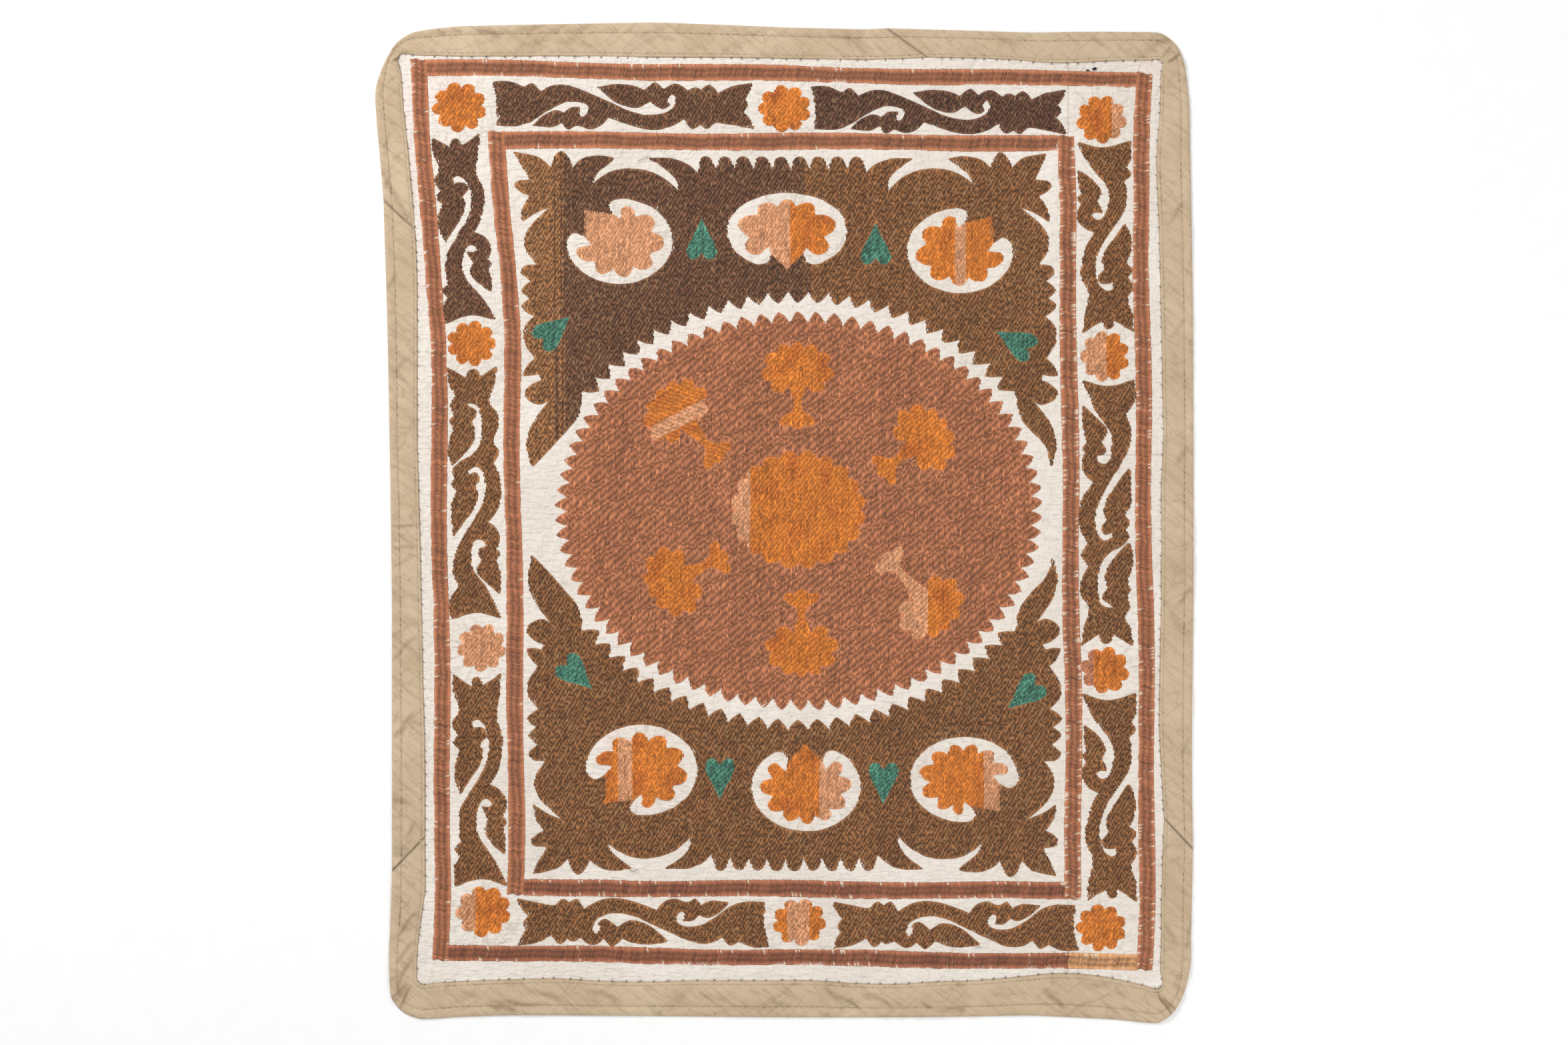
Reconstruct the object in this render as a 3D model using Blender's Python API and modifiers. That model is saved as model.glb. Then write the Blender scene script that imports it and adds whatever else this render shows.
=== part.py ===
# Suzani: couched embroidery on a pieced cotton ground, with a bias-cut cotton binding.
# It lies flat, face up. X runs to the right, Y to the top edge, Z up; the origin is under its middle.
# Outlines are in millimetres on the cloth's face and become metres when an object is made.
import bmesh
import bpy
from bisect import bisect_right
from math import atan2, cos, degrees, hypot, pi, radians, sin, sqrt
from mathutils import Vector

MM = 0.001
GAP = 0.3              # between pieces that touch
ROUND_BEND = 50        # an outline's bend sharper than this, in degrees, gets a point more
GROUND_THICK = 1.0     # cotton ground
STITCH_THICK = 1.0     # couched embroidery
TAPE_THICK = 1.2       # binding tape with its turned-in edge
STITCH_LOW = GROUND_THICK + GAP
EDGE_INSET = 8.0       # the ground ends this far inside the binding's outer edge
SEAM_X = 400.0         # the main panel meets the narrow side panel here
CROSS_SEAM_Y = 95.0    # the side panel is pieced across here

# Centre and half sizes of the medallion, and the size of its teeth.
MEDALLION = dict(x=21.0, y=16.0, half_width=343.0, half_height=281.0, teeth=82, depth=18.0)
ROSETTE_CENTRE = dict(x=20.0, y=18.0, half_width=95.0, half_height=83.0, teeth=20, depth=9.0)
# Shapes of one tooth. Columns: share of its pitch, share of its depth.
LOBE = ((0.0, 1.0), (0.22, 0.28), (0.5, 0.0), (0.78, 0.28))
LEAF_TOOTH = ((0.0, 1.0), (0.3, 0.35), (0.6, 0.0))
RING_HALF_WIDTH = 364.0    # notches of the field's teeth, round the medallion
RING_HALF_HEIGHT = 311.0
FIELD_TEETH = 25
FIELD_TOOTH_DEPTH = 20.0
FIELD_REACH = 1.015        # the lower field is this much taller than the upper one

# The whole design drifts sideways from edge to edge. Columns: height on the cloth, shift.
DRIFT = ((-700, 10), (-500, 15), (-300, 15), (0, 11), (250, 9), (420, 3), (520, -5), (700, -3))
TOP_SPREAD = 0.03      # the design is this much wider at its top than at its middle
TOP_TILT = 0.0195      # the top border drops this much for each unit to the right
BOTTOM_TILT = 0.014    # and the bottom border this much

COLOURS = {
    "ground": ((0.86, 0.83, 0.79), 0.9),
    "khaki": ((0.55, 0.43, 0.28), 0.9),
    "brown": ((0.15, 0.085, 0.04), 0.75),
    "terracotta": ((0.35, 0.14, 0.08), 0.7),
    "orange": ((0.66, 0.22, 0.03), 0.65),
    "peach": ((0.58, 0.27, 0.15), 0.65),
    "green": ((0.03, 0.23, 0.15), 0.65),
}

# Outer edge of the binding, clockwise from the left end of the top. Columns: X, Y.
OUTER_EDGE = (
    (-505, 699), (-468, 698), (-402, 700.5), (-184, 704.5), (-62, 700), (11, 697), (114, 694.5),
    (173, 697.5), (357, 690), (436, 691.5), (531, 690),
    (552, 673), (565, 646), (570, 614), (573, 483), (576, 300), (577, -71), (575.5, -207), (574, -344),
    (576, -484), (572, -638), (561, -670), (547, -692), (534, -705),
    (442, -698.5), (348, -694.5), (190, -697), (-2, -697), (-203, -695), (-377, -694), (-478, -697),
    (-517, -699), (-536, -690), (-549, -677), (-557, -663),
    (-556, -610), (-553, -500), (-552, -333), (-552, -120), (-554, 42), (-557, 210), (-559, 299),
    (-564, 454), (-570, 526), (-577, 604), (-566, 644), (-546, 675), (-526, 689),
)
# Inner edge of the binding, clockwise from the top left corner. Columns: X, Y.
INNER_EDGE = (
    (-541, 658), (-427, 656), (-302, 657), (-184, 655), (-52, 654.5), (24, 652.5), (149, 651.5),
    (207, 654), (304, 653), (384, 646), (436, 648.5), (489, 651.5), (531, 650),
    (529, 574), (523.5, 506), (527.5, 426), (531, 285), (534, 108), (531, 58), (531, -71), (529, -207),
    (528, -299), (534, -390), (531, -520), (530, -655),
    (496, -650), (456, -640), (402, -634), (361, -636.5), (280, -644.5), (200, -647), (137, -651.5),
    (49, -645), (-127, -645), (-226, -647.5), (-327, -641.5), (-427, -645), (-513, -649),
    (-519, -610), (-505, -525), (-500, -453), (-505, -333), (-509, -165), (-512, -29), (-516, 114),
    (-516, 346), (-518, 418), (-528, 514), (-537, 604),
)
# Diagonal joins of the tape, clockwise: where each crosses the outer and the inner edge.
TAPE_JOINS = (
    dict(outer=(145, 696), inner=(203, 655)),
    dict(outer=(576, -460), inner=(535, -416)),
    dict(outer=(-552, -491), inner=(-505, -442)),
    dict(outer=(-564, 454), inner=(-519, 412)),
)
TAPE_NAMES = ("binding-top-right", "binding-bottom", "binding-left", "binding-top-left")
TAPE_STEP = 64.0       # distance between the tape's sections
TAPE_CORNER_STEP = 24.0    # and next to a corner
TAPE_ROWS = (0.0, 0.4, 0.74, 0.94)    # where its lengthwise rows lie, from inner to outer edge
TAPE_RISE = (0.0, 0.5, 0.2, 0.3)      # and how far each stands up
TAPE_CREASE = 0.35     # height of the drag creases
TAPE_END_GAP = 0.9     # each strip stops this short of its joins
TAPE_LOW = GROUND_THICK + GAP + TAPE_CREASE

# Rows of an outline: T a tip and N a notch are sharp, B a bend is round. Columns: kind, across, up.
# A quarter of the brown field, from the scallops at the top to the tail beside the medallion.
FIELD_QUARTER = (
    ("N", 117, 492), ("B", 130, 504), ("B", 150, 512), ("T", 184, 513),
    ("B", 162, 499), ("B", 147, 482), ("T", 144, 464),
    ("B", 157, 478), ("B", 176, 491), ("B", 203, 498), ("B", 230, 496), ("B", 252, 486), ("T", 266, 474),
    ("B", 258, 490), ("T", 230, 513), ("B", 252, 516), ("B", 276, 511), ("N", 289, 499),
    ("B", 295, 514), ("B", 304, 522), ("B", 313, 514), ("N", 319, 499),
    ("B", 334, 513), ("T", 368, 521), ("B", 359, 502), ("N", 349, 483),
    ("B", 366, 481), ("B", 371, 473), ("B", 362, 464), ("N", 353, 460),
    ("B", 364, 443), ("T", 368, 423), ("B", 350, 435), ("T", 324, 446),
    ("B", 342, 431), ("B", 357, 416), ("B", 365, 397), ("B", 363, 381), ("N", 351, 363),
    ("B", 366, 362), ("B", 374, 352), ("N", 361, 340), ("B", 375, 327), ("N", 363, 316),
    ("B", 377, 304), ("N", 359, 291), ("B", 373, 275), ("B", 374, 256), ("N", 359, 231),
    ("B", 369, 222), ("T", 377, 207), ("B", 356, 209), ("B", 352, 200), ("T", 361, 197),
    ("B", 375, 184), ("B", 368, 171), ("B", 354, 166), ("N", 338, 174),
    ("B", 356, 152), ("B", 368, 131), ("B", 372, 108), ("T", 366, 78),
)
# The tail's inner side. Columns: kind, distance from the medallion's middle line, up.
TAIL_INSIDE = (
    ("B", 350, 104), ("B", 329, 128), ("B", 312, 149),
)
TEETH_START = 33.0     # degrees round the ring, from the horizontal, where the teeth begin
SCALLOPS = dict(pitch=26.0, top=513.0, notch=499.0, count=9)

# Designs of the border's vines, by the tips, notches and bends of their outline, from the calyx's
# outer tip. Columns: kind, along the border, across it from its inner side.
VINE_TWO_LEAF = dict(length=373.0, width=71.0, outline=(
    ("T", 0, 70), ("B", 24, 70), ("N", 45, 62), ("B", 55, 68), ("N", 69, 56), ("B", 84, 64),
    ("B", 104, 65.5), ("B", 127, 58), ("B", 174, 37), ("B", 197, 27), ("B", 222, 22), ("B", 244, 25),
    ("B", 258, 34), ("B", 261, 47), ("B", 255, 53), ("T", 250, 46), ("B", 251, 36), ("B", 243, 31),
    ("B", 233, 36), ("N", 225, 43), ("B", 205, 33), ("B", 180, 39), ("T", 148, 63), ("B", 179, 67),
    ("B", 203, 64), ("N", 217, 58), ("B", 232, 70), ("N", 243, 59), ("B", 260, 68), ("N", 279, 58),
    ("B", 289, 63), ("N", 298, 59), ("B", 309, 67), ("N", 321, 54), ("B", 341, 64), ("T", 370, 70),
    ("N", 359, 47), ("B", 364, 38), ("N", 357, 27), ("T", 373, 2), ("B", 342, 8), ("N", 316, 11),
    ("B", 305, 2), ("N", 296, 8), ("B", 285, 2), ("N", 274, 17), ("B", 258, 7), ("B", 236, 1),
    ("B", 211, 3), ("B", 187, 10), ("N", 165, 18), ("B", 156, 7), ("B", 140, 1), ("N", 121, 6),
    ("B", 109, 0), ("N", 101, 11), ("B", 86, 4), ("T", 58, 6), ("B", 76, 22), ("B", 93, 28),
    ("N", 103, 24), ("B", 112, 32), ("T", 126, 33), ("B", 123, 24), ("B", 129, 18), ("B", 137, 26),
    ("B", 136, 36), ("B", 124, 41), ("B", 103, 40), ("B", 79, 28), ("B", 54, 11), ("B", 36, 5),
    ("T", 5, 5), ("B", 7, 38)))
VINE_SHORT = dict(length=270.0, width=80.0, outline=(
    ("T", 0, 80), ("B", 25, 80), ("N", 37, 73), ("B", 48, 79), ("N", 56, 70), ("B", 75, 73),
    ("B", 97, 70), ("B", 125, 51), ("B", 148, 34), ("B", 167, 26), ("B", 190, 26), ("B", 205, 32),
    ("B", 212, 43), ("B", 208, 53), ("T", 199, 52), ("B", 202, 45), ("B", 200, 34), ("B", 191, 30),
    ("N", 181, 40), ("B", 168, 36), ("B", 150, 44), ("B", 133, 58), ("T", 117, 70), ("B", 130, 77),
    ("B", 155, 78), ("N", 173, 70), ("B", 182, 80), ("N", 192, 73), ("B", 207, 81), ("N", 223, 72),
    ("B", 245, 79), ("T", 270, 81), ("B", 261, 66), ("N", 253, 52), ("B", 263, 50), ("B", 266, 43),
    ("B", 262, 38), ("N", 254, 35), ("B", 262, 20), ("T", 270, 7), ("B", 248, 9), ("N", 213, 15),
    ("B", 192, 6), ("B", 165, 8), ("B", 146, 14), ("N", 129, 25), ("B", 121, 9), ("B", 103, 0),
    ("N", 88, 7), ("B", 81, 0), ("N", 75, 7), ("B", 61, 3), ("T", 40, 2), ("B", 56, 24),
    ("B", 72, 34), ("N", 85, 28), ("B", 92, 33), ("T", 101, 37), ("B", 100, 27), ("B", 104, 20),
    ("B", 111, 28), ("B", 109, 38), ("B", 97, 45), ("B", 76, 48), ("B", 62, 43), ("B", 30, 17),
    ("T", 0, 0), ("B", 9, 37)))
VINE_THREE_LEAF = dict(length=375.0, width=76.0, outline=(
    ("T", 0, 76), ("B", 26, 78), ("N", 49, 64), ("B", 66, 71), ("B", 88, 71), ("B", 112, 61),
    ("B", 150, 37), ("B", 176, 23), ("B", 198, 19), ("B", 219, 24), ("B", 227, 34), ("B", 222, 46),
    ("T", 215, 48), ("B", 216, 41), ("B", 218, 36), ("B", 208, 29), ("N", 198, 37), ("B", 186, 33),
    ("B", 167, 38), ("B", 144, 55), ("T", 123, 71), ("B", 150, 72), ("B", 176, 71), ("N", 191, 63),
    ("B", 201, 71), ("N", 211, 66), ("B", 221, 70), ("B", 233, 60), ("B", 244, 41), ("B", 257, 29),
    ("B", 280, 23), ("B", 300, 24), ("B", 316, 28), ("B", 321, 38), ("T", 321, 48), ("B", 316, 43),
    ("B", 312, 35), ("B", 304, 32), ("N", 294, 40), ("B", 283, 36), ("B", 265, 38), ("B", 244, 55),
    ("T", 229, 71), ("B", 245, 75), ("B", 268, 73), ("N", 285, 67), ("B", 296, 72), ("N", 304, 67),
    ("B", 319, 71), ("N", 334, 64), ("B", 350, 72), ("T", 374, 75), ("B", 366, 60), ("N", 358, 47),
    ("B", 368, 43), ("B", 372, 35), ("B", 367, 28), ("N", 359, 25), ("B", 366, 14), ("T", 375, 0),
    ("B", 347, 5), ("N", 323, 12), ("B", 303, 0), ("B", 285, 0), ("N", 263, 8), ("B", 247, 0),
    ("N", 231, 8), ("B", 214, 0), ("B", 193, -3), ("B", 170, 0), ("N", 144, 17), ("B", 131, 4),
    ("B", 114, 1), ("N", 103, 6), ("B", 97, 0), ("N", 89, 7), ("B", 62, 1), ("T", 36, 1),
    ("B", 54, 21), ("B", 72, 36), ("N", 88, 27), ("B", 95, 33), ("T", 104, 33), ("B", 106, 22),
    ("B", 114, 22), ("B", 119, 32), ("B", 113, 42), ("B", 88, 45), ("B", 72, 42), ("B", 45, 22),
    ("T", 1, 0), ("B", 9, 38)))
# Columns: name, design, middle of the calyx end, middle of the forked end, width.
VINES = (
    ("vine-top-left", VINE_TWO_LEAF, (-411, 588), (-42, 586), 68),
    ("vine-top-right", VINE_TWO_LEAF, (38, 582.5), (398, 577.5), 65),
    ("vine-right-upper", VINE_SHORT, (450, 537), (453, 268), 76),
    ("vine-right-middle", VINE_THREE_LEAF, (456, 201), (455, -174), 72),
    ("vine-right-lower", VINE_SHORT, (457.5, -241), (458, -534), 75),
    ("vine-bottom-right", VINE_TWO_LEAF, (414, -569), (68, -566.5), 69),
    ("vine-bottom-left", VINE_TWO_LEAF, (-22, -564.5), (-376, -562.5), 69),
    ("vine-left-lower", VINE_SHORT, (-427, -512), (-429, -213), 73),
    ("vine-left-middle", VINE_THREE_LEAF, (-433, -136), (-440, 219), 70),
    ("vine-left-upper", VINE_SHORT, (-441.5, 283), (-460, 545), 71),
)
# Columns: name, colour, X, Y, half width, half height, lobes, turn in degrees.
ROSETTES = (
    ("rosette-top-left", "orange", -457, 585, 38, 35, 9, 5),
    ("rosette-top-middle", "orange", 1, 583, 37, 33, 9, 0),
    ("rosette-top-right", "orange", 447, 568, 35, 34, 9, 12),
    ("rosette-left-upper", "orange", -440, 252, 34, 32, 9, 20),
    ("rosette-left-lower", "peach", -426, -176, 34, 34, 9, 8),
    ("rosette-right-upper", "orange", 452, 234, 34, 36, 9, 0),
    ("rosette-right-lower", "orange", 452, -208, 34, 33, 8, 10),
    ("rosette-bottom-left", "orange", -423, -548, 38, 36, 9, 4),
    ("rosette-bottom-middle", "orange", 22, -563, 37, 33, 9, 15),
    ("rosette-bottom-right", "orange", 447, -571, 35, 33, 9, 0),
)
ROSETTE_DEPTH = 8.5
# Flowers in white ovals. Columns: name, colour, X, Y, half width, half height, stem's heading, lobes.
FLOWERS = (
    ("flower-top-left", "peach", -232, 396, 75, 60, 138, 7),
    ("flower-top-middle", "orange", 4, 410, 85, 54, 270, 7),
    ("flower-top-right", "orange", 248, 383, 75, 60, 48, 7),
    ("flower-bottom-left", "orange", -201, -349, 79, 64, 222, 8),
    ("flower-bottom-middle", "orange", 31, -373, 77, 62, 92, 9),
    ("flower-bottom-right", "orange", 254, -362, 77, 60, 318, 9),
)
FLOWER_LOBE = 0.83     # share of the oval that the lobes reach
FLOWER_NOTCH = 0.63
# Columns: name, X, Y, heading of the point in degrees.
HEARTS = (
    ("heart-top-left", -116, 397, 90),
    ("heart-top-right", 129, 390, 90),
    ("heart-left-upper", -325, 270, 40),
    ("heart-right-upper", 327, 254, 151),
    ("heart-left-lower", -293, -213, -43),
    ("heart-right-lower", 340, -241, -139),
    ("heart-bottom-left", -90, -359, -90),
    ("heart-bottom-right", 140, -365, -90),
)
# Half of a heart, from its cleft to its point. Columns: kind, towards the point, across.
HEART_HALF = (
    ("N", -17, 0), ("B", -25, 7), ("B", -26, 15), ("B", -17, 21), ("B", -5, 18), ("B", 12, 9), ("T", 31, 0),
)
# Tulips in the medallion. Columns: name, X, Y, stem's heading in degrees, extra length of the stem.
TULIPS = (
    ("tulip-top", 19, 215, 270, 0),
    ("tulip-bottom", 25, -178, 90, 0),
    ("tulip-upper-left", -152, 157, -47, 12),
    ("tulip-upper-right", 198, 119, 218, 0),
    ("tulip-lower-left", -156, -83, 27, 2),
    ("tulip-lower-right", 207, -120, 131, 17),
)
TULIP_HEAD = dict(half_width=52.0, half_height=39.0, lobes=9)
# Half of a tulip's foot, from its neck. Columns: kind, along the stem, across.
TULIP_FOOT = (
    ("B", 49, 4.5), ("B", 58, 8), ("B", 67, 21), ("B", 75, 25), ("B", 79, 18), ("N", 77, 10), ("B", 82, 5),
)
# Half sizes of the two rows of banding, outer side. Columns: name, right, top, bottom, band's width.
BANDS = (
    ("outer", 507, 643, -624, 22),
    ("inner", 404, 548, -528, 23),
)
BAND_SWAY = 1.4        # the bands wander this much
BAND_STEP = 95.0
BAND_ABUT = 1.5        # the level bands stop this short of the upright ones


# Outline helpers.
def lerp(a, b, t):
    return a + (b - a) * t


def drift(up):
    at = min(max(bisect_right([row[0] for row in DRIFT], up), 1), len(DRIFT) - 1)
    (low, low_shift), (high, high_shift) = DRIFT[at - 1], DRIFT[at]
    return lerp(low_shift, high_shift, (up - low) / (high - low))


def on_cloth(across, up):
    """Where a point of the regular design comes to lie on the hand-drawn cloth."""
    spread = 1 + TOP_SPREAD * max(0.0, (up - 300) / 340)
    tilt = TOP_TILT * min(max((up - 500) / 140, 0.0), 1.0)
    tilt += BOTTOM_TILT * min(max((-440 - up) / 160, 0.0), 1.0)
    return (drift(up) + across * spread, up - tilt * across)


def turned(x, y, heading, along, across):
    """A point given along and across a heading in degrees, from (x, y)."""
    c, s = cos(radians(heading)), sin(radians(heading))
    return (x + along * c - across * s, y + along * s + across * c)


def rounded(rows):
    """A closed outline of (kind, x, y) rows; its round bends get a point halfway on a smooth curve."""
    out = []
    count = len(rows)
    for i, (kind, x, y) in enumerate(rows):
        out.append((x, y))
        following = rows[(i + 1) % count]
        if kind != "B" and following[0] != "B":
            continue
        before = rows[i - 1] if kind == "B" else rows[i]
        after = rows[(i + 2) % count] if following[0] == "B" else following
        start = (following[1] - before[1], following[2] - before[2])
        end = (after[1] - x, after[2] - y)
        bend = abs(degrees(atan2(start[0] * end[1] - start[1] * end[0], start[0] * end[0] + start[1] * end[1])))
        if bend > ROUND_BEND:
            share = 0.5 if kind == "B" else 1.0
            close = 0.5 if following[0] == "B" else 1.0
            out.append((
                (x + following[1]) / 2 + (start[0] * share - end[0] * close) / 8,
                (y + following[2]) / 2 + (start[1] * share - end[1] * close) / 8))
    return out


def area(outline):
    return sum(a[0] * b[1] - b[0] * a[1] for a, b in zip(outline, outline[1:] + outline[:1])) / 2


def grown(outline, by):
    """The outline with each edge moved out by a distance."""
    side = by if area(outline) > 0 else -by
    out = []
    for before, here, after in zip(outline[-1:] + outline[:-1], outline, outline[1:] + outline[:1]):
        a = Vector((here[0] - before[0], here[1] - before[1])).normalized()
        b = Vector((after[0] - here[0], after[1] - here[1])).normalized()
        middle = Vector((a.y + b.y, -a.x - b.x))
        middle = middle.normalized() if middle.length > 1e-6 else Vector((a.y, -a.x))
        reach = side / max(middle.dot(Vector((a.y, -a.x))), 0.35)
        out.append((here[0] + middle.x * reach, here[1] + middle.y * reach))
    return out


def clipped(outline, axis, limit, keep_above):
    """The part of an outline on one side of a straight line."""
    sign = 1 if keep_above else -1
    out = []
    for a, b in zip(outline, outline[1:] + outline[:1]):
        da, db = sign * (a[axis] - limit), sign * (b[axis] - limit)
        if da >= 0:
            out.append(a)
        if da * db < 0:
            t = da / (da - db)
            out.append((lerp(a[0], b[0], t), lerp(a[1], b[1], t)))
    return out


def toothed_ring(x, y, half_width, half_height, teeth, depth, turn=0.0, tooth=LEAF_TOOTH):
    """A round or oval outline of teeth. A tooth's columns: share of its pitch, share of its depth."""
    out = []
    for i in range(teeth):
        for share, drop in tooth:
            angle = radians(turn) + 2 * pi * (i + share) / teeth
            out.append((
                x + (half_width - depth * drop) * cos(angle),
                y + (half_height - depth * drop) * sin(angle)))
    return out


# Outlines of the motifs.
def oval_reach(half_width, half_height, angle):
    return 1 / sqrt((cos(angle) / half_width) ** 2 + (sin(angle) / half_height) ** 2)


def mirrored_half(half):
    """Rows of (kind, angle from the stem, share of the oval): one side, then the other side back."""
    return list(half) + [(kind, 360 - angle, share) for kind, angle, share in reversed(half) if angle % 180]


def around_oval(rows, x, y, half_width, half_height, heading):
    out = []
    for kind, angle, share in rows:
        at = radians(heading + angle)
        reach = share * oval_reach(half_width, half_height, at)
        out.append((kind, x + reach * cos(at), y + reach * sin(at)))
    return out


def lobe_rows(lobes, first, lobe_share, notch_share):
    """Lobes from one hook round to the other. Columns: kind, angle from the stem, share of the oval."""
    pitch = (360 - 2 * first) / lobes
    rows = []
    for i in range(lobes):
        start = first + i * pitch
        if i:
            rows.append(("N", start, notch_share))
        for share, drop in ((0.25, 0.055), (0.5, 0.0), (0.75, 0.055)):
            rows.append(("B", start + share * pitch, lobe_share - drop))
    return rows


def flower_rows(lobes):
    hook = [("T", 35, 0.64), ("T", 50, 0.50), ("B", 51, 0.62)]
    back = [(kind, 360 - angle, share) for kind, angle, share in reversed(hook)]
    return [("T", 0, 0.99)] + hook + lobe_rows(lobes, 42, FLOWER_LOBE, FLOWER_NOTCH) + back


def oval_rows():
    half = [("T", 0, 0.99), ("T", 35, 0.64), ("B", 31, 0.85), ("B", 40, 0.98)]
    half += [("B", angle, 1.0) for angle in range(58, 180, 20)]
    return mirrored_half(half)


def tulip_outline(x, y, heading, longer):
    head = TULIP_HEAD
    # The head is laid out with its stem towards +X, then turned.
    hook = [("T", 30, 0.60), ("B", 34, 0.86)]
    lobes = lobe_rows(head["lobes"], 32, 1.0, 0.80)
    rows = hook + lobes + [(kind, 360 - angle, share) for kind, angle, share in reversed(hook)]
    head_points = around_oval(rows, 0, 0, head["half_height"], head["half_width"], 0)
    foot = list(TULIP_FOOT) + [("B", 83, 0)]
    foot += [(kind, along, -across) for kind, along, across in reversed(TULIP_FOOT)]
    local = head_points + [(kind, along + longer, -across) for kind, along, across in foot]
    return rounded([(kind, *turned(x, y, heading, along, across)) for kind, along, across in local])


def heart_outline(x, y, heading):
    half = [row for row in HEART_HALF if row[2]]
    rows = list(HEART_HALF) + [(kind, along, -across) for kind, along, across in reversed(half)]
    return rounded([(kind, *turned(x, y, heading, along, across)) for kind, along, across in rows])


def rosette_outline(row):
    name, colour, x, y, half_width, half_height, lobes, turn = row
    return toothed_ring(x, y, half_width, half_height, lobes, ROSETTE_DEPTH, turn, LOBE)


def vine_outline(design, start, end, width):
    heading = degrees(atan2(end[1] - start[1], end[0] - start[0]))
    stretch = hypot(end[0] - start[0], end[1] - start[1]) / design["length"]
    rows = []
    for kind, along, across in design["outline"]:
        side = (across / design["width"] - 0.5) * width
        rows.append((kind, *turned(start[0], start[1], heading, along * stretch, side)))
    return rounded(rows)


def field_outline(upper):
    """The brown field above or below the medallion: two mirrored quarters, scallops and teeth."""
    middle = MEDALLION["y"]
    flip = 1 if upper else -FIELD_REACH

    def quarter(side):
        rows = []
        for kind, across, up in FIELD_QUARTER:
            rows.append((kind, *on_cloth(side * across, middle + flip * (up - middle))))
        for kind, across, up in TAIL_INSIDE:
            rows.append((kind, MEDALLION["x"] + side * across, middle + flip * (up - middle)))
        return rows

    scallops = []
    for i in range(SCALLOPS["count"]):
        across = (i - (SCALLOPS["count"] - 1) / 2) * SCALLOPS["pitch"]
        for kind, step, up in (("N", -0.5, "notch"), ("B", -0.22, "top"), ("B", 0.22, "top")):
            drop = 4 if step == -0.5 else 0
            at = (across + step * SCALLOPS["pitch"], middle + flip * (SCALLOPS[up] - drop - middle))
            scallops.append((kind, *on_cloth(*at)))
    teeth = []
    span = 180 - 2 * TEETH_START
    for i in range(FIELD_TEETH + 1):
        for kind, share, depth in (("N", 0.0, 0.0), ("B", 0.3, 0.62), ("T", 0.56, 1.0), ("B", 0.84, 0.55)):
            if i == FIELD_TEETH and share:
                continue
            angle = radians(TEETH_START + span * (i + share) / FIELD_TEETH)
            reach = 1 - depth * FIELD_TOOTH_DEPTH / RING_HALF_WIDTH
            teeth.append((kind, MEDALLION["x"] + RING_HALF_WIDTH * reach * cos(angle),
                          middle + (1 if upper else -1) * RING_HALF_HEIGHT * reach * sin(angle)))
    rows = scallops[1:] + quarter(1) + teeth + quarter(-1)[::-1]
    return rounded(rows)


# Making objects.
def clear_scene():
    for obj in list(bpy.data.objects):
        bpy.data.objects.remove(obj, do_unlink=True)


def make_material(name, colour, roughness):
    material = bpy.data.materials.new(name)
    material.use_nodes = True
    shader = material.node_tree.nodes["Principled BSDF"]
    shader.inputs["Base Color"].default_value = (*colour, 1.0)
    shader.inputs["Roughness"].default_value = roughness
    shader.inputs["Metallic"].default_value = 0.0
    return material


def make_layer(name, outlines, low, thick, material, collection):
    """A flat piece: the first outline is its edge and the others are cut out of it."""
    xs = [point[0] for point in outlines[0]]
    ys = [point[1] for point in outlines[0]]
    centre = ((min(xs) + max(xs)) / 2, (min(ys) + max(ys)) / 2)
    curve = bpy.data.curves.new(name, "CURVE")
    curve.dimensions = "2D"
    curve.fill_mode = "BOTH"
    curve.extrude = thick / 2 * MM
    curve.resolution_u = 1
    curve.render_resolution_u = 0
    for outline in outlines:
        spline = curve.splines.new("POLY")
        spline.points.add(len(outline) - 1)
        spline.use_cyclic_u = True
        for point, (x, y) in zip(spline.points, outline):
            point.co = ((x - centre[0]) * MM, (y - centre[1]) * MM, 0.0, 1.0)
    curve.materials.append(material)
    obj = bpy.data.objects.new(name, curve)
    obj.location = (centre[0] * MM, centre[1] * MM, (low + thick / 2) * MM)
    collection.objects.link(obj)
    return obj


def edge_length(edge):
    marks = [0.0]
    for a, b in zip(edge, edge[1:]):
        marks.append(marks[-1] + hypot(b[0] - a[0], b[1] - a[1]))
    return marks


def along_edge(edge, marks, share):
    reach = share * marks[-1]
    at = min(max(bisect_right(marks, reach), 1), len(marks) - 1)
    t = (reach - marks[at - 1]) / (marks[at] - marks[at - 1])
    return (lerp(edge[at - 1][0], edge[at][0], t), lerp(edge[at - 1][1], edge[at][1], t))


def nearest(edge, point):
    return min(range(len(edge)), key=lambda i: hypot(edge[i][0] - point[0], edge[i][1] - point[1]))


def edge_between(edge, first, last):
    """The stretch of a closed edge from a point near one join to a point near the next."""
    start, end = nearest(edge, first), nearest(edge, last)
    turned_edge = edge[start:] + edge[:start]
    inside = turned_edge[1:(end - start) % len(edge)]
    kept = [p for p in inside if min(hypot(p[0] - q[0], p[1] - q[1]) for q in (first, last)) > 12]
    return [first] + kept + [last]


def tape_edges(edge, joins, key):
    """The edge of each strip of tape, from one diagonal join to the next."""
    strips = []
    for join, following in zip(joins, joins[1:] + joins[:1]):
        strips.append(edge_between(edge, join[key], following[key]))
    return strips


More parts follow.
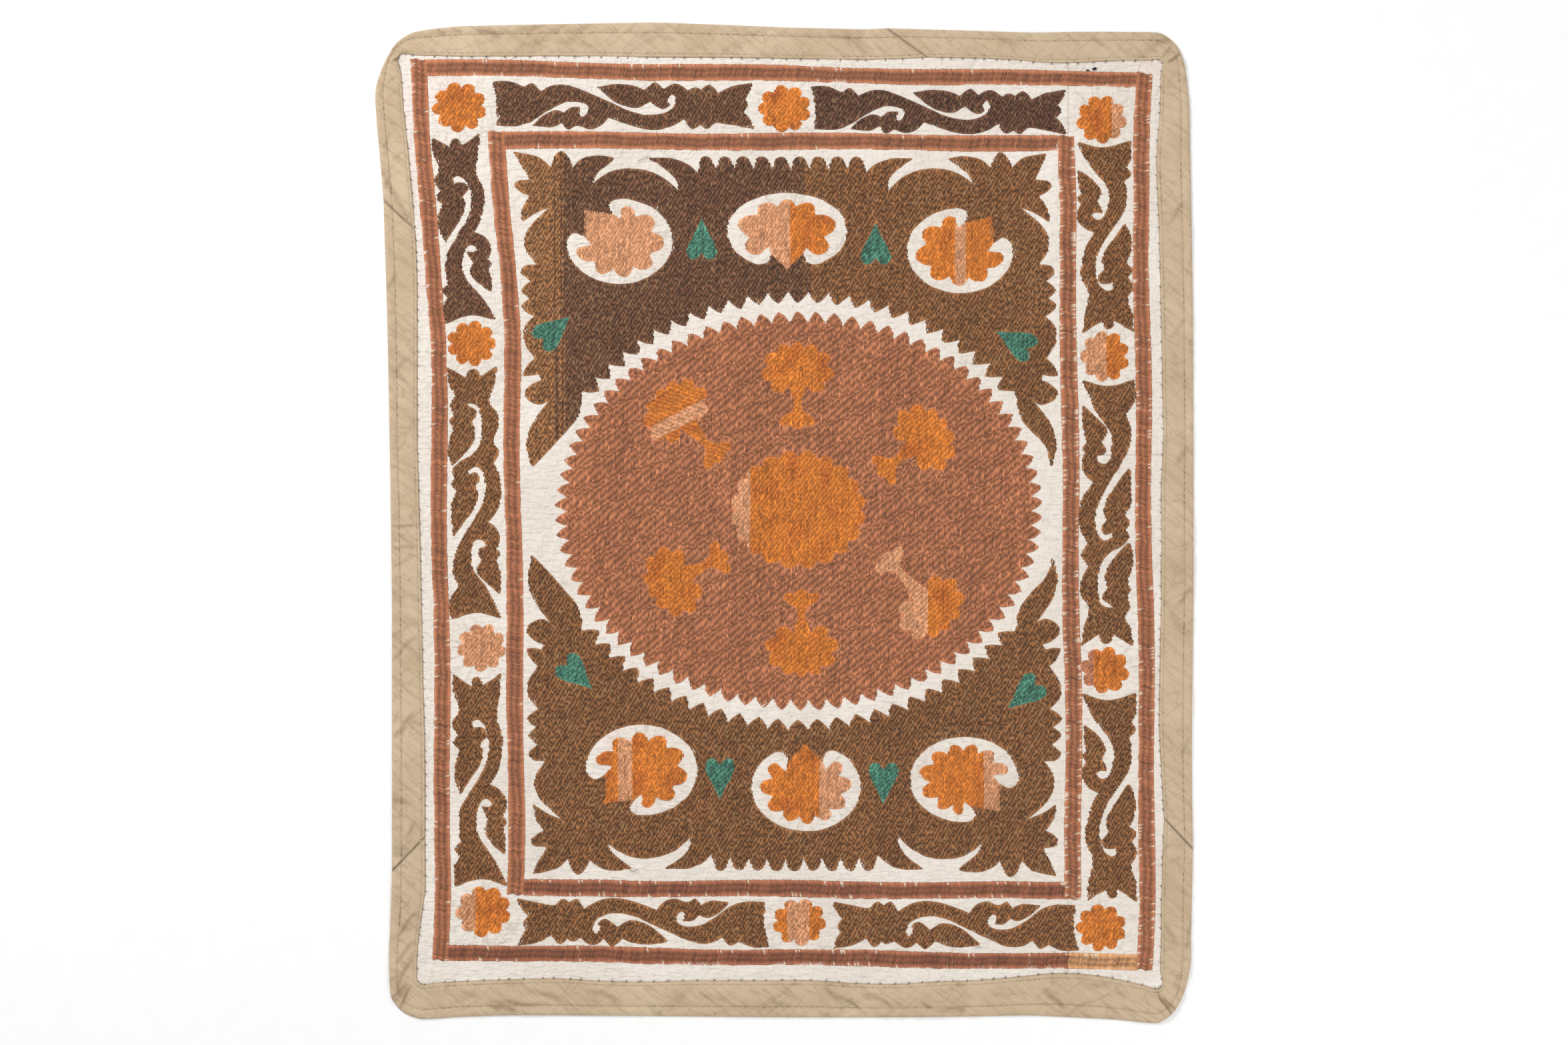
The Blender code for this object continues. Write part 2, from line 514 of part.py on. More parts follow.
def make_tape(name, outer, inner, material, collection):
    """A strip of tape that lies on the ground's edge and turns down over it to the floor."""
    stretches = matched_stretches(outer, inner)
    sections = []
    for outer_part, inner_part in stretches:
        outer_marks, inner_marks = edge_length(outer_part), edge_length(inner_part)
        near = TAPE_CORNER_STEP / outer_marks[-1]
        steps = max(1, round(outer_marks[-1] / TAPE_STEP))
        shares = [0.0] + [lerp(near, 1 - near, i / steps) for i in range(steps + 1)]
        shares += [1.0] * (outer_part is stretches[-1][0])
        for share in shares:
            sections.append((along_edge(outer_part, outer_marks, share), along_edge(inner_part, inner_marks, share)))
    shape = bmesh.new()
    across = len(TAPE_ROWS) + 2
    bmesh.ops.create_grid(shape, x_segments=len(sections) - 1, y_segments=across - 1, size=1.0)
    shape.verts.ensure_lookup_table()
    order = sorted(shape.verts, key=lambda v: (round(v.co.x, 5), round(v.co.y, 5)))
    top = TAPE_LOW + TAPE_THICK
    for i, (out_point, in_point) in enumerate(sections):
        for j in range(across):
            share = TAPE_ROWS[j] if j < len(TAPE_ROWS) else 1.0
            rise = TAPE_RISE[j] if j < len(TAPE_ROWS) else (-0.3 if j == len(TAPE_ROWS) else -top)
            crease = TAPE_CREASE * sin(i * 1.9 + j * 2.2) if 0 < j < len(TAPE_ROWS) - 1 else 0.0
            order[i * across + j].co = (
                lerp(in_point[0], out_point[0], share) * MM,
                lerp(in_point[1], out_point[1], share) * MM,
                (top + rise + crease) * MM)
    bmesh.ops.recalc_face_normals(shape, faces=shape.faces)
    if sum(face.normal.z for face in shape.faces) < 0:
        bmesh.ops.reverse_faces(shape, faces=shape.faces)
    mesh = bpy.data.meshes.new(name)
    shape.to_mesh(mesh)
    shape.free()
    mesh.materials.append(material)
    obj = bpy.data.objects.new(name, mesh)
    collection.objects.link(obj)
    wall = obj.modifiers.new("thickness", "SOLIDIFY")
    wall.thickness = TAPE_THICK * MM
    wall.offset = -1.0
    return obj


def matched_stretches(outer, inner):
    """Cuts both edges of a strip at each corner of the cloth, so that they turn it together."""
    def corner_marks(edge):
        found = []
        for x_side, y_side in ((-1, 1), (1, 1), (1, -1), (-1, -1)):
            at = max(range(len(edge)), key=lambda i: x_side * edge[i][0] + y_side * edge[i][1])
            if x_side * edge[at][0] > 480 and y_side * edge[at][1] > 600 and 0 < at < len(edge) - 1:
                found.append(at)
        return sorted(found)

    outer_cuts = [0] + corner_marks(outer) + [len(outer) - 1]
    inner_cuts = [0] + corner_marks(inner) + [len(inner) - 1]
    pairs = []
    for a, b, c, d in zip(outer_cuts, outer_cuts[1:], inner_cuts, inner_cuts[1:]):
        pairs.append((outer[a:b + 1], inner[c:d + 1]))
    return pairs


# The pieces of the suzani.
def add_ground(materials, collection):
    whole = grown(list(OUTER_EDGE), -EDGE_INSET)
    half = GAP / 2
    side = clipped(whole, 0, SEAM_X + half, True)
    panels = (
        ("ground-main", clipped(whole, 0, SEAM_X - half, False)),
        ("ground-side-upper", clipped(side, 1, CROSS_SEAM_Y + half, True)),
        ("ground-side-lower", clipped(side, 1, CROSS_SEAM_Y - half, False)),
    )
    for name, outline in panels:
        make_layer(name, [outline], 0.0, GROUND_THICK, materials["ground"], collection)


def add_binding(materials, collection):
    outer = tape_edges(list(OUTER_EDGE), TAPE_JOINS, "outer")
    inner = tape_edges(list(INNER_EDGE), TAPE_JOINS, "inner")
    for name, outer_edge, inner_edge in zip(TAPE_NAMES, outer, inner):
        make_tape(name, shortened(outer_edge), shortened(inner_edge), materials["khaki"], collection)


def shortened(edge):
    """The edge with both ends drawn back, so that the strips stay apart at their joins."""
    out = list(edge)
    for at, beside in ((0, 1), (-1, -2)):
        length = hypot(edge[beside][0] - edge[at][0], edge[beside][1] - edge[at][1])
        t = TAPE_END_GAP / length
        out[at] = (lerp(edge[at][0], edge[beside][0], t), lerp(edge[at][1], edge[beside][1], t))
    return out


def stitched(name, outlines, colour, materials, collection):
    return make_layer(name, outlines, STITCH_LOW, STITCH_THICK, materials[colour], collection)


def add_bands(materials, collection):
    for row, right, top, bottom, width in BANDS:
        sides = {
            "left": ((-right, bottom), (-right, top), (width, 0)),
            "right": ((right, top), (right, bottom), (-width, 0)),
            "top": ((-right + width + BAND_ABUT, top), (right - width - BAND_ABUT, top), (0, -width)),
            "bottom": ((right - width - BAND_ABUT, bottom), (-right + width + BAND_ABUT, bottom), (0, width)),
        }
        for side, (start, end, across) in sides.items():
            steps = round(hypot(end[0] - start[0], end[1] - start[1]) / BAND_STEP)
            edges = []
            for shift in ((0, 0), across):
                line = []
                for i in range(steps + 1):
                    t = i / steps
                    sway = BAND_SWAY * sin(i * 1.7 + shift[0] * 0.02 + shift[1] * 0.03) if 0 < i < steps else 0.0
                    x, y = on_cloth(lerp(start[0], end[0], t) + shift[0], lerp(start[1], end[1], t) + shift[1])
                    line.append((x + sway * (across[0] != 0), y + sway * (across[1] != 0)))
                edges.append(line)
            stitched(f"band-{row}-{side}", [edges[0] + edges[1][::-1]], "terracotta", materials, collection)


def add_border(materials, collection):
    for name, design, start, end, width in VINES:
        stitched(name, [vine_outline(design, start, end, width)], "brown", materials, collection)
    for row in ROSETTES:
        stitched(row[0], [rosette_outline(row)], row[1], materials, collection)


def add_fields(materials, collection):
    holes = {True: [], False: []}
    for name, colour, x, y, half_width, half_height, heading, lobes in FLOWERS:
        hole = rounded(around_oval(oval_rows(), x, y, half_width, half_height, heading))
        flower = rounded(around_oval(flower_rows(lobes), x, y, half_width, half_height, heading))
        holes[y > 0].append(grown(hole, GAP))
        stitched(name, [flower], colour, materials, collection)
    for name, x, y, heading in HEARTS:
        heart = heart_outline(x, y, heading)
        holes[y > 0].append(grown(heart, GAP))
        stitched(name, [heart], "green", materials, collection)
    for name, upper in (("field-upper", True), ("field-lower", False)):
        stitched(name, [field_outline(upper)] + holes[upper], "brown", materials, collection)


def add_medallion(materials, collection):
    centre = toothed_ring(**ROSETTE_CENTRE, tooth=LOBE)
    stitched("rosette-centre", [centre], "orange", materials, collection)
    holes = [grown(centre, GAP)]
    for name, *place in TULIPS:
        tulip = tulip_outline(*place)
        stitched(name, [tulip], "orange", materials, collection)
        holes.append(grown(tulip, GAP))
    stitched("medallion", [toothed_ring(**MEDALLION)] + holes, "terracotta", materials, collection)


def main():
    clear_scene()
    collection = bpy.data.collections.new("suzani")
    bpy.context.scene.collection.children.link(collection)
    materials = {name: make_material(name, *look) for name, look in COLOURS.items()}
    add_ground(materials, collection)
    add_binding(materials, collection)
    add_bands(materials, collection)
    add_border(materials, collection)
    add_fields(materials, collection)
    add_medallion(materials, collection)


main()
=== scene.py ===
from math import cos, hypot, pi, radians, sin
import bmesh
import bpy
import numpy as np
from mathutils import Matrix, Vector, noise


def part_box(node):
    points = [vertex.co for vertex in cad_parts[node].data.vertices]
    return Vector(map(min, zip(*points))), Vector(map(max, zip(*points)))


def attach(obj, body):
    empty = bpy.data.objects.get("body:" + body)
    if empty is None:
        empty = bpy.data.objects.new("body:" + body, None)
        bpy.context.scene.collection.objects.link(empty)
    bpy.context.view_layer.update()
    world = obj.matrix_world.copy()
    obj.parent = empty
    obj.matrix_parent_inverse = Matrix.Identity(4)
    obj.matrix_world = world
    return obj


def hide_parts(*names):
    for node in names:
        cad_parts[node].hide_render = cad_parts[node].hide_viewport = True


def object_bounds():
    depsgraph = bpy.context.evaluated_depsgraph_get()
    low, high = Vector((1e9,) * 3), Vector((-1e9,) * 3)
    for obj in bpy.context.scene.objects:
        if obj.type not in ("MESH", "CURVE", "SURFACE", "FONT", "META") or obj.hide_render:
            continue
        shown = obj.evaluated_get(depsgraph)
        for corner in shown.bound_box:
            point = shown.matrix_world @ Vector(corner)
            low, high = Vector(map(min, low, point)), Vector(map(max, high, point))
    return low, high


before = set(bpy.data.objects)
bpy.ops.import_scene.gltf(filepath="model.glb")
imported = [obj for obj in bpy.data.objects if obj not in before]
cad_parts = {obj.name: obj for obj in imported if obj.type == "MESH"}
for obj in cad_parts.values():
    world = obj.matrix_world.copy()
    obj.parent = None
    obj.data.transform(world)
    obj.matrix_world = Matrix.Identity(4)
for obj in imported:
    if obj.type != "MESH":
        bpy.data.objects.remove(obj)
cad_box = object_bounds()

MM = 0.001
NODES = sorted(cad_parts)
WORKED = [name for name in NODES if not name.startswith(("ground", "binding"))]
random = np.random.default_rng(11)

# Silk colours as they show in daylight, red, green and blue out of 255.
DYES = {
    "brown": (146, 97, 57),
    "light brown": (165, 112, 68),
    "dark brown": (120, 80, 54),
    "black brown": (108, 72, 52),
    "terracotta": (186, 120, 85),
    "deep terracotta": (172, 108, 78),
    "madder": (179, 113, 77),
    "tan": (226, 168, 116),
    "orange": (211, 122, 45),
    "peach": (214, 151, 109),
    "green": (72, 124, 104),
}

# The silk is laid in upright threads, side by side, and tied down in slanting rows.
THREAD_PITCH = 2.25 * MM
THREAD_TOP = 2.25 * MM
THREAD_EDGE = 0.45 * MM      # height of its sides, which tuck under its neighbours
THREAD_HALF = 1.08          # half its width, as a share of the pitch
PAINTED_CROWN_LIGHT = (0.84, 1.08, 0.84)    # painted light across a thread: painted shade at its left side, a painted highlight on the crown, painted shade at its right side
THREAD_END = 1.0 * MM       # height of a thread's ends, where it goes through the cloth
END_TAPER = 1.3 * MM
TIE_DEPTH = 0.5 * MM        # how far a tie pulls its thread down
# Cross-sections of a thread from one tie to the next.
# Columns: share of the way, how far it is pulled down (which also sets the painted shade there), how it leans
# to the left or right.
TIE_SECTION = ((0.07, 0.85, -1.0), (0.5, 0.0, 0.0), (0.93, 0.85, 1.0))
SHORTEST_THREAD = 1.6 * MM
THREAD_LAP = 0.55 * MM       # how far a thread's ends pass the outline

# How each kind of area is worked.
# Columns: distance between ties along a thread, rise of their rows, wobble of the rows,
# sideways lean of the silk between two ties as a share of the pitch, strength of the painted shade at the
# ties.
WORKING = {
    "medallion": (9.0 * MM, 0.80, 0.42, 0.30, 1.15),
    "field": (8.6 * MM, 1.60, 0.28, 0.40, 1.50),
    "vine": (8.2 * MM, 1.60, 0.26, 0.40, 1.50),
    "rosette": (7.8 * MM, 1.30, 0.26, 0.30, 0.90),
    "flower": (7.8 * MM, 1.60, 0.26, 0.28, 0.85),
    "tulip": (7.6 * MM, 0.95, 0.28, 0.28, 0.90),
    "heart": (6.8 * MM, 0.90, 0.30, 0.34, 1.10),
}
# Silk of the worked areas that don't have the usual dye, from left to right.
# Columns of a pair: the X in metres where a new hank begins, its dye.
HANKS = {
    "field-upper": ("light brown", (-0.315, "dark brown"), (0.03, "brown")),
    "vine-top-left": ("dark brown",),
    "vine-top-right": ("black brown",),
    "vine-left-upper": ("dark brown",),
    "rosette-top-right": ("orange", (0.461, "peach")),
    "rosette-left-lower": ("peach",),
    "rosette-right-upper": ("peach", (0.4545, "orange")),
    "rosette-right-lower": ("terracotta", (0.436, "orange")),
    "rosette-bottom-left": ("peach", (-0.434, "orange")),
    "rosette-bottom-middle": ("orange", (0.004, "peach"), (0.037, "orange")),
    "flower-top-left": ("peach",),
    "flower-top-middle": ("peach", (0.010, "orange")),
    "flower-top-right": ("orange", (0.241, "peach"), (0.257, "orange")),
    "flower-bottom-left": ("orange", (-0.234, "peach"), (-0.214, "orange")),
    "flower-bottom-middle": ("orange", (0.049, "peach")),
    "flower-bottom-right": ("orange", (0.281, "peach")),
    "rosette-centre": ("peach", (-0.048, "orange")),
    "tulip-lower-right": ("peach", (0.203, "orange")),
    "tulip-upper-left": ("orange", (-0.208, "peach"), (-0.187, "orange")),
    "band-outer-bottom": ("deep terracotta", (0.400, "tan")),
    "band-inner-bottom": ("deep terracotta",),
}
USUAL_DYE = {
    "medallion": "madder", "band": "terracotta", "rosette": "orange", "flower": "orange",
    "tulip": "orange", "heart": "green", "field": "brown", "vine": "brown",
}
THREAD_TURN = {"tulip-upper-left": -62, "band-outer-left": 90, "band-outer-right": 90,
               "band-inner-left": 90, "band-inner-right": 90}


def as_light(rgb):
    """A colour out of 255, as shown, turned into the light that a surface sends back."""
    shown = np.asarray(rgb, float) / 255
    return np.where(shown > 0.04045, ((shown + 0.055) / 1.055) ** 2.4, shown / 12.92)


def kind_of(node):
    return node.split("-")[0]


def smooth_step(low, high, value):
    t = np.clip((value - low) / (high - low), 0, 1)
    return t * t * (3 - 2 * t)


def noise_at(*place):
    """Smooth unevenness, about -1 to 1."""
    return noise.noise(Vector(place))


def cloth_relief(x, y):
    """Broad unevenness of the cloth as it lies, shared by all its pieces: puckers and one old fold."""
    puckers = np.sin(x * 31 + 2 * np.sin(y * 9)) * np.sin(y * 27 + 1.7 * np.sin(x * 11))
    fold = np.exp(-((y - 0.011 - 0.002 * np.sin(x * 7)) / 0.004) ** 2)
    return (0.35 * puckers + 0.7 * fold) * MM


# Outlines, read from the solids of the frame.
def rim_loops(node, upright=0.9, axes=2):
    """Closed outlines of a solid's faces that look up, with its cloth on the left of each edge."""
    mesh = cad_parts[node].data
    mesh.calc_loop_triangles()
    edges = {}
    for triangle in mesh.loop_triangles:
        if triangle.normal.z < upright:
            continue
        keys = [tuple(round(c, 5) for c in mesh.vertices[v].co[:axes]) for v in triangle.vertices]
        for a, b in zip(keys, keys[1:] + keys[:1]):
            if (b, a) in edges:
                del edges[(b, a)]
            else:
                edges[(a, b)] = True
    following = {a: b for a, b in edges}
    loops = []
    while following:
        loop, at = [], next(iter(following))
        while at in following:
            loop.append(at)
            at = following.pop(at)
        if len(loop) > 2:
            loops.append(np.array(loop))
    return loops


ROUND_NOTCH = 50       # an inward bend sharper than this, in degrees, stays sharp
ROUND_TIP = 78         # and an outward one
LEAF_BOW = 17          # how far a tooth's straight side bows out, in degrees
LONGEST_BOW = 45 * MM
ROUND_PULL = 1.15      # how full the rounded bends are
OUTLINE_STEP = 2.4 * MM


def softened(loop, bow):
    """The outline with its bends rounded, its tips and notches sharp, and short straight sides bowed out."""
    ahead = np.roll(loop, -1, axis=0) - loop
    length = np.hypot(*ahead.T)
    heading = np.arctan2(ahead[:, 1], ahead[:, 0])
    turn = np.degrees((heading - np.roll(heading, 1) + pi) % (2 * pi) - pi)
    sharp = (turn < -ROUND_NOTCH) | (turn > ROUND_TIP)
    out = []
    for i, side in enumerate(ahead):
        j = (i + 1) % len(loop)
        bowed = bow if sharp[i] and sharp[j] and length[i] < LONGEST_BOW else 0.0
        start = turned(side, -bowed) if sharp[i] else ROUND_PULL * halfway(ahead[i - 1], side)
        end = turned(side, bowed) if sharp[j] else ROUND_PULL * halfway(side, ahead[j])
        steps = max(1, int(length[i] / OUTLINE_STEP))
        out.append(curve_between(loop[i], loop[j], start, end, (np.arange(steps) / steps)[:, None]))
    return np.concatenate(out)


def turned(points, degrees):
    """Points or directions, turned about the origin."""
    c, s = cos(radians(degrees)), sin(radians(degrees))
    x, y = points[..., 0], points[..., 1]
    return np.stack((x * c - y * s, x * s + y * c), axis=-1)


def halfway(before, after):
    """Between the directions of two sides: nearer to the shorter side's, and as long as it."""
    a, b = (np.maximum(np.linalg.norm(side, axis=-1, keepdims=True), 1e-9) for side in (before, after))
    way = before / a * b + after / b * a
    return way / np.maximum(np.linalg.norm(way, axis=-1, keepdims=True), 1e-9) * np.minimum(a, b)


def curve_between(a, b, start, end, t):
    """A place on the smooth curve from a to b, at a share of the way, with its directions at both ends."""
    risen = t * t * (3 - 2 * t)
    return a * (1 - risen) + b * risen + start * (t * (1 - t) ** 2) - end * (t * t * (1 - t))


def sides_of(loops):
    """Where each side of the outlines starts, and where it ends."""
    return np.concatenate(loops), np.concatenate([np.roll(loop, -1, axis=0) for loop in loops])


def crossings(sides, x):
    """The heights at which an upright line crosses the sides, in order."""
    starts, ends = sides
    crosses = (starts[:, 0] <= x) != (ends[:, 0] <= x)
    a, b = starts[crosses], ends[crosses]
    return np.sort(a[:, 1] + (x - a[:, 0]) / (b[:, 0] - a[:, 0]) * (b[:, 1] - a[:, 1]))


def thread_spans(loops):
    """Where each upright thread lies and what stretch of it is inside the outlines: X, from Y, to Y."""
    sides = sides_of(loops)
    low, high = sides[0][:, 0].min(), sides[0][:, 0].max()
    spans = []
    for line in range(int(low / THREAD_PITCH) - 1, int(high / THREAD_PITCH) + 2):
        x = (line + 0.5) * THREAD_PITCH
        ys = crossings(sides, x)
        spans += [(x, y0, y1) for y0, y1 in zip(ys[::2], ys[1::2])]
    return spans


# Worked silk.
class Threads:
    """Cross-sections of laid threads, gathered one thread at a time and made into one mesh."""

    def __init__(self):
        self.laid = []

    def lay(self, xs, ys, half, top, edge, painted_tie_shade, dye):
        self.laid.append(np.column_stack((xs, ys, half, top, edge, painted_tie_shade, dye)))

    def make(self, name, turn, material):
        rings = np.concatenate(self.laid)
        count = len(rings)
        x, y, half, top, edge, painted_tie_shade = rings[:, :6].T
        last = np.cumsum([len(thread) for thread in self.laid]) - 1
        joins = np.delete(np.arange(count), last)
        points = np.zeros((count, 3, 3))
        for column, (side, height) in enumerate(((-1, edge), (0, top), (1, edge))):
            points[:, column] = np.column_stack((x + side * half, y, height))
        points[..., :2] = turned(points, turn)
        points[..., 2] += cloth_relief(points[..., 0], points[..., 1])
        here, there = joins * 3, (joins + 1) * 3
        quads = np.concatenate([
            np.column_stack((here + k, here + k + 1, there + k + 1, there + k)) for k in (0, 1)])
        mesh = mesh_of_quads(name, points.reshape(-1, 3), quads)
        colours = np.ones((count * 3, 4))
        # The dye times the painted highlight on each thread's crown and the painted shade at its sides.
        colours[:, :3] = np.repeat(rings[:, 6:], 3, axis=0) * np.tile(PAINTED_CROWN_LIGHT, count)[:, None]
        mesh.attributes.new("dye", "FLOAT_COLOR", "POINT").data.foreach_set("color", colours.ravel())
        # Painted shade at the ties, for the silk material.
        mesh.attributes.new("painted_tie_shade", "FLOAT", "POINT").data.foreach_set("value", np.repeat(painted_tie_shade, 3))
        uv = np.column_stack((np.tile((0.0, 0.5, 1.0), count) * THREAD_PITCH, np.repeat(y, 3)))
        mesh.uv_layers.new(name="thread").data.foreach_set("uv", uv[quads.ravel()].ravel())
        mesh.materials.append(material)
        return place(name, mesh)


def mesh_of_quads(name, points, quads):
    """One smooth mesh of many joined small strips or beads."""
    mesh = bpy.data.meshes.new(name)
    mesh.vertices.add(len(points))
    mesh.vertices.foreach_set("co", np.ascontiguousarray(points, np.float32).ravel())
    mesh.loops.add(quads.size)
    mesh.loops.foreach_set("vertex_index", np.ascontiguousarray(quads, np.int32).ravel())
    mesh.polygons.add(len(quads))
    mesh.polygons.foreach_set("loop_start", np.arange(0, quads.size, quads.shape[1], dtype=np.int32))
    mesh.polygons.foreach_set("use_smooth", np.ones(len(quads), bool))
    mesh.update(calc_edges=True)
    return mesh


def place(name, mesh):
    obj = bpy.data.objects.new(name, mesh)
    bpy.context.scene.collection.objects.link(obj)
    return obj


def place_shape(name, shape, material):
    """Ends the work on a shape, as a smooth piece."""
    mesh = bpy.data.meshes.new(name)
    shape.to_mesh(mesh)
    shape.free()
    mesh.shade_smooth()
    mesh.materials.append(material)
    return place(name, mesh)


def hank_dye(node, x, ys):
    """The dye of the silk along a thread. Brown hanks mix where a new one begins."""
    name, *later = HANKS.get(node, (USUAL_DYE[kind_of(node)],))
    mixed = 5 * MM * random.standard_normal() if kind_of(node) == "field" else 0.0
    for start, next_name in later:
        if x >= start + mixed:
            name = next_name
    dye = np.tile(as_light(DYES[name]), (len(ys), 1))
    if name == "orange":
        for row, y in enumerate(ys):
            reddened = max(0.0, noise_at(x * 42, y * 34, 5)) * 1.5
            dye[row] *= (1 - 0.20 * reddened, 1 - 0.30 * reddened, 1 - 0.20 * reddened)
    return dye


# How much the stitches of an area differ in shade, and how many of them are worn to a lighter one.
SHADE_SPREAD = {"band": 0.07, "heart": 0.30, "field": 0.20, "vine": 0.20}
WORN_DYE = (182, 146, 104)      # worn stitches, where the dye has gone
WORN_SHARE = {"field": (0.06, 0.14), "vine": (0.06, 0.14), "heart": (0.12, 0.0), "medallion": (0.03, 0.0)}


def thread_dye(node, x, ys, stitch):
    """The colour along one thread: its hank, its own shade, a shade for each stitch, and worn places."""
    kind = kind_of(node)
    band = kind == "band"
    own = 1 + (0.03 if band else 0.05) * random.standard_normal() + 0.03 * sin(x * 61 + 1) * (not band)
    dye = hank_dye(node, x, ys) * own
    shades = 1 + SHADE_SPREAD.get(kind, 0.17) * random.standard_normal(stitch.max() + 1)
    shades = np.clip(shades, 0.55, 1.6)
    usual, streaked = WORN_SHARE.get(kind, (0.0, 0.0))
    streak = 0.5 + 0.5 * sin(x * 37 + 3 * sin(x * 11)) * sin(ys.mean() * 9 + x * 5)
    worn = (random.random(len(shades)) < usual + streaked * streak)[stitch][:, None]
    if kind in ("field", "vine"):
        faded = 0.72 * dye + 0.28 * as_light(WORN_DYE)
    else:
        faded = 1.5 * dye
    return np.where(worn, faded, dye * shades[stitch][:, None])


def lay_upright(threads, node, x, y0, y1):
    """One thread that is tied down where the slanting rows of ties cross it."""
    between, rise, wobble, lean, tied = WORKING[kind_of(node)]
    y0 -= THREAD_LAP * (0.6 + 0.5 * random.random())
    y1 += THREAD_LAP * (0.6 + 0.5 * random.random())
    rows = np.arange(int((y0 - rise * x) / between) - 2, int((y1 - rise * x) / between) + 3)
    sway = wobble * (np.sin(x * 83 + rows * 1.7) + 0.6 * np.sin(x * 211 - rows * 2.9))
    own = 0.17 * random.standard_normal(len(rows))
    ties = np.sort(between * (rows + sway * 0.6 + own) + rise * x)
    apart = np.diff(ties, append=ties[-1] + between)
    stitch = np.repeat(np.arange(len(rows)), len(TIE_SECTION))
    share, dips, leans = np.tile(TIE_SECTION, (len(rows), 1)).T
    rings = np.column_stack((ties[stitch] + apart[stitch] * share, dips, leans * lean, stitch))
    taper = min(END_TAPER, (y1 - y0) / 2.5)
    rings = rings[(rings[:, 0] > y0 + taper * 1.25) & (rings[:, 0] < y1 - taper * 1.25)]
    first, last = rings[[0, -1], 3] if len(rings) else (0, 0)
    rings = np.vstack((
        (y0, 0.5, 0, first), (y0 + taper, 0, 0, first), rings, (y1 - taper, 0, 0, last), (y1, 0.5, 0, last)))
    ys, dips, leans, stitch = rings.T
    ends = np.zeros(len(ys), bool)
    ends[[0, -1]] = True
    half = THREAD_PITCH * (THREAD_HALF - 0.50 * ends)
    top = THREAD_TOP - TIE_DEPTH * dips * ~ends + 0.05 * MM * random.standard_normal(len(ys))
    top[ends] = THREAD_END
    edge = np.where(ends, THREAD_END - 0.1 * MM, THREAD_EDGE)
    stray = 0.3 * MM * np.sin(ys * 71 + x * 13) + 0.08 * MM * random.standard_normal()
    xs = x + THREAD_PITCH * leans + stray
    # The pull at each tie, times the area's strength, is the painted shade there.
    threads.lay(xs, ys, half, top, edge, dips * tied, thread_dye(node, x, ys, stitch.astype(int)))


# A band's threads run across it, and their middle third is tied down slantwise and is darker.
# Columns: share of the thread's length, pull of the tie (which also sets its painted tie shade), sideways
# lean, and shade: a multiplier of the dye, with a painted highlight on the raised stretches, painted shade at
# the ties and ends, and darkest in the middle.
BAND_SECTION = (
    (0.00, 0.4, 0.0, 0.95),
    (0.07, 0.0, 0.0, 1.10),
    (0.33, 1.0, -0.7, 0.90),
    (0.50, 0.2, 0.0, 0.74),
    (0.67, 1.0, 0.7, 0.90),
    (0.93, 0.0, 0.0, 1.10),
    (1.00, 0.4, 0.0, 0.95),
)


BARE_THREAD = (236, 214, 190)    # where the silk has worn off and the light core shows
BARE_SHARE = {
    "band-inner-right": 0.20, "band-outer-right": 0.09, "band-outer-left": 0.04, "band-inner-bottom": 0.05,
    "band-outer-bottom": 0.05,
}
USUAL_BARE = 0.012
BAND_HALF = 0.72     # half a band thread's width, as a share of the pitch


def lay_band(threads, node, x, y0, y1):
    """One short thread across a band."""
    upright = THREAD_TURN.get(node, 0) == 90
    y0 -= (0.3 + 0.3 * random.standard_normal()) * MM
    y1 += (0.3 + 0.3 * random.standard_normal()) * MM
    rows, dips, leans, shades = np.array(BAND_SECTION).T
    middle = (rows > 0.2) & (rows < 0.8)
    ends = rows * (1 - rows) == 0
    sway = 0.05 * sin(x * 67) + 0.03 * random.standard_normal()
    ys = y0 + (y1 - y0) * (rows + middle * sway)
    top = np.where(ends, THREAD_END, THREAD_TOP - TIE_DEPTH * 0.8 * dips)
    edge = np.where(ends, THREAD_END - 0.1 * MM, THREAD_EDGE)
    half = THREAD_PITCH * (BAND_HALF - 0.30 * ends)
    tan = node == "band-outer-bottom" and x > HANKS[node][1][0]
    soft = 0.45 if upright or tan else 1.0
    dye = thread_dye(node, 0.0 if upright else x, ys, np.zeros(len(rows), int))
    uneven = np.where(middle, 1 + 0.15 * random.standard_normal(), 1 + 0.08 * random.standard_normal())
    # The shade column's painted highlight and shade, softer on the side bands and the tan stretch.
    dye *= ((1 + (shades - 1) * soft) * np.clip(uneven, 0.6, 1.4))[:, None]
    for side in (1, 5):
        if random.random() < BARE_SHARE.get(node, USUAL_BARE):
            dye[side] = as_light(BARE_THREAD)
    threads.lay(x + THREAD_PITCH * leans, ys, half, top, edge, dips, dye)


def squared_ends(spans):
    """A level band whose end threads are full length, with one more at each end, to meet the side bands."""
    low, high = spans[3][1:], spans[-4][1:]
    left = [spans[0][0] - THREAD_PITCH, *(x for x, _, _ in spans[:3])]
    right = [*(x for x, _, _ in spans[-3:]), spans[-1][0] + THREAD_PITCH]
    return [(x, *low) for x in left] + spans[3:-3] + [(x, *high) for x in right]


def make_worked_area(node, material):
    """Replaces a plain embroidered solid by its threads, and returns its outlines."""
    band = kind_of(node) == "band"
    loops = [softened(loop, 0 if band else LEAF_BOW) for loop in rim_loops(node)]
    turn = THREAD_TURN.get(node, 0)
    spans = thread_spans([turned(loop, -turn) for loop in loops])
    if band and turn == 0:
        spans = squared_ends(spans)
    threads = Threads()
    for x, y0, y1 in spans:
        if y1 - y0 > SHORTEST_THREAD:
            (lay_band if band else lay_upright)(threads, node, x, y0, y1)
    stand_in(threads.make(node + "-silk", turn, material), node)
    return loops


def stand_in(piece, node):
    """Fits a finished piece to the frame in the place of its plain solid."""
    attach(piece, "root")
    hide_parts(node)


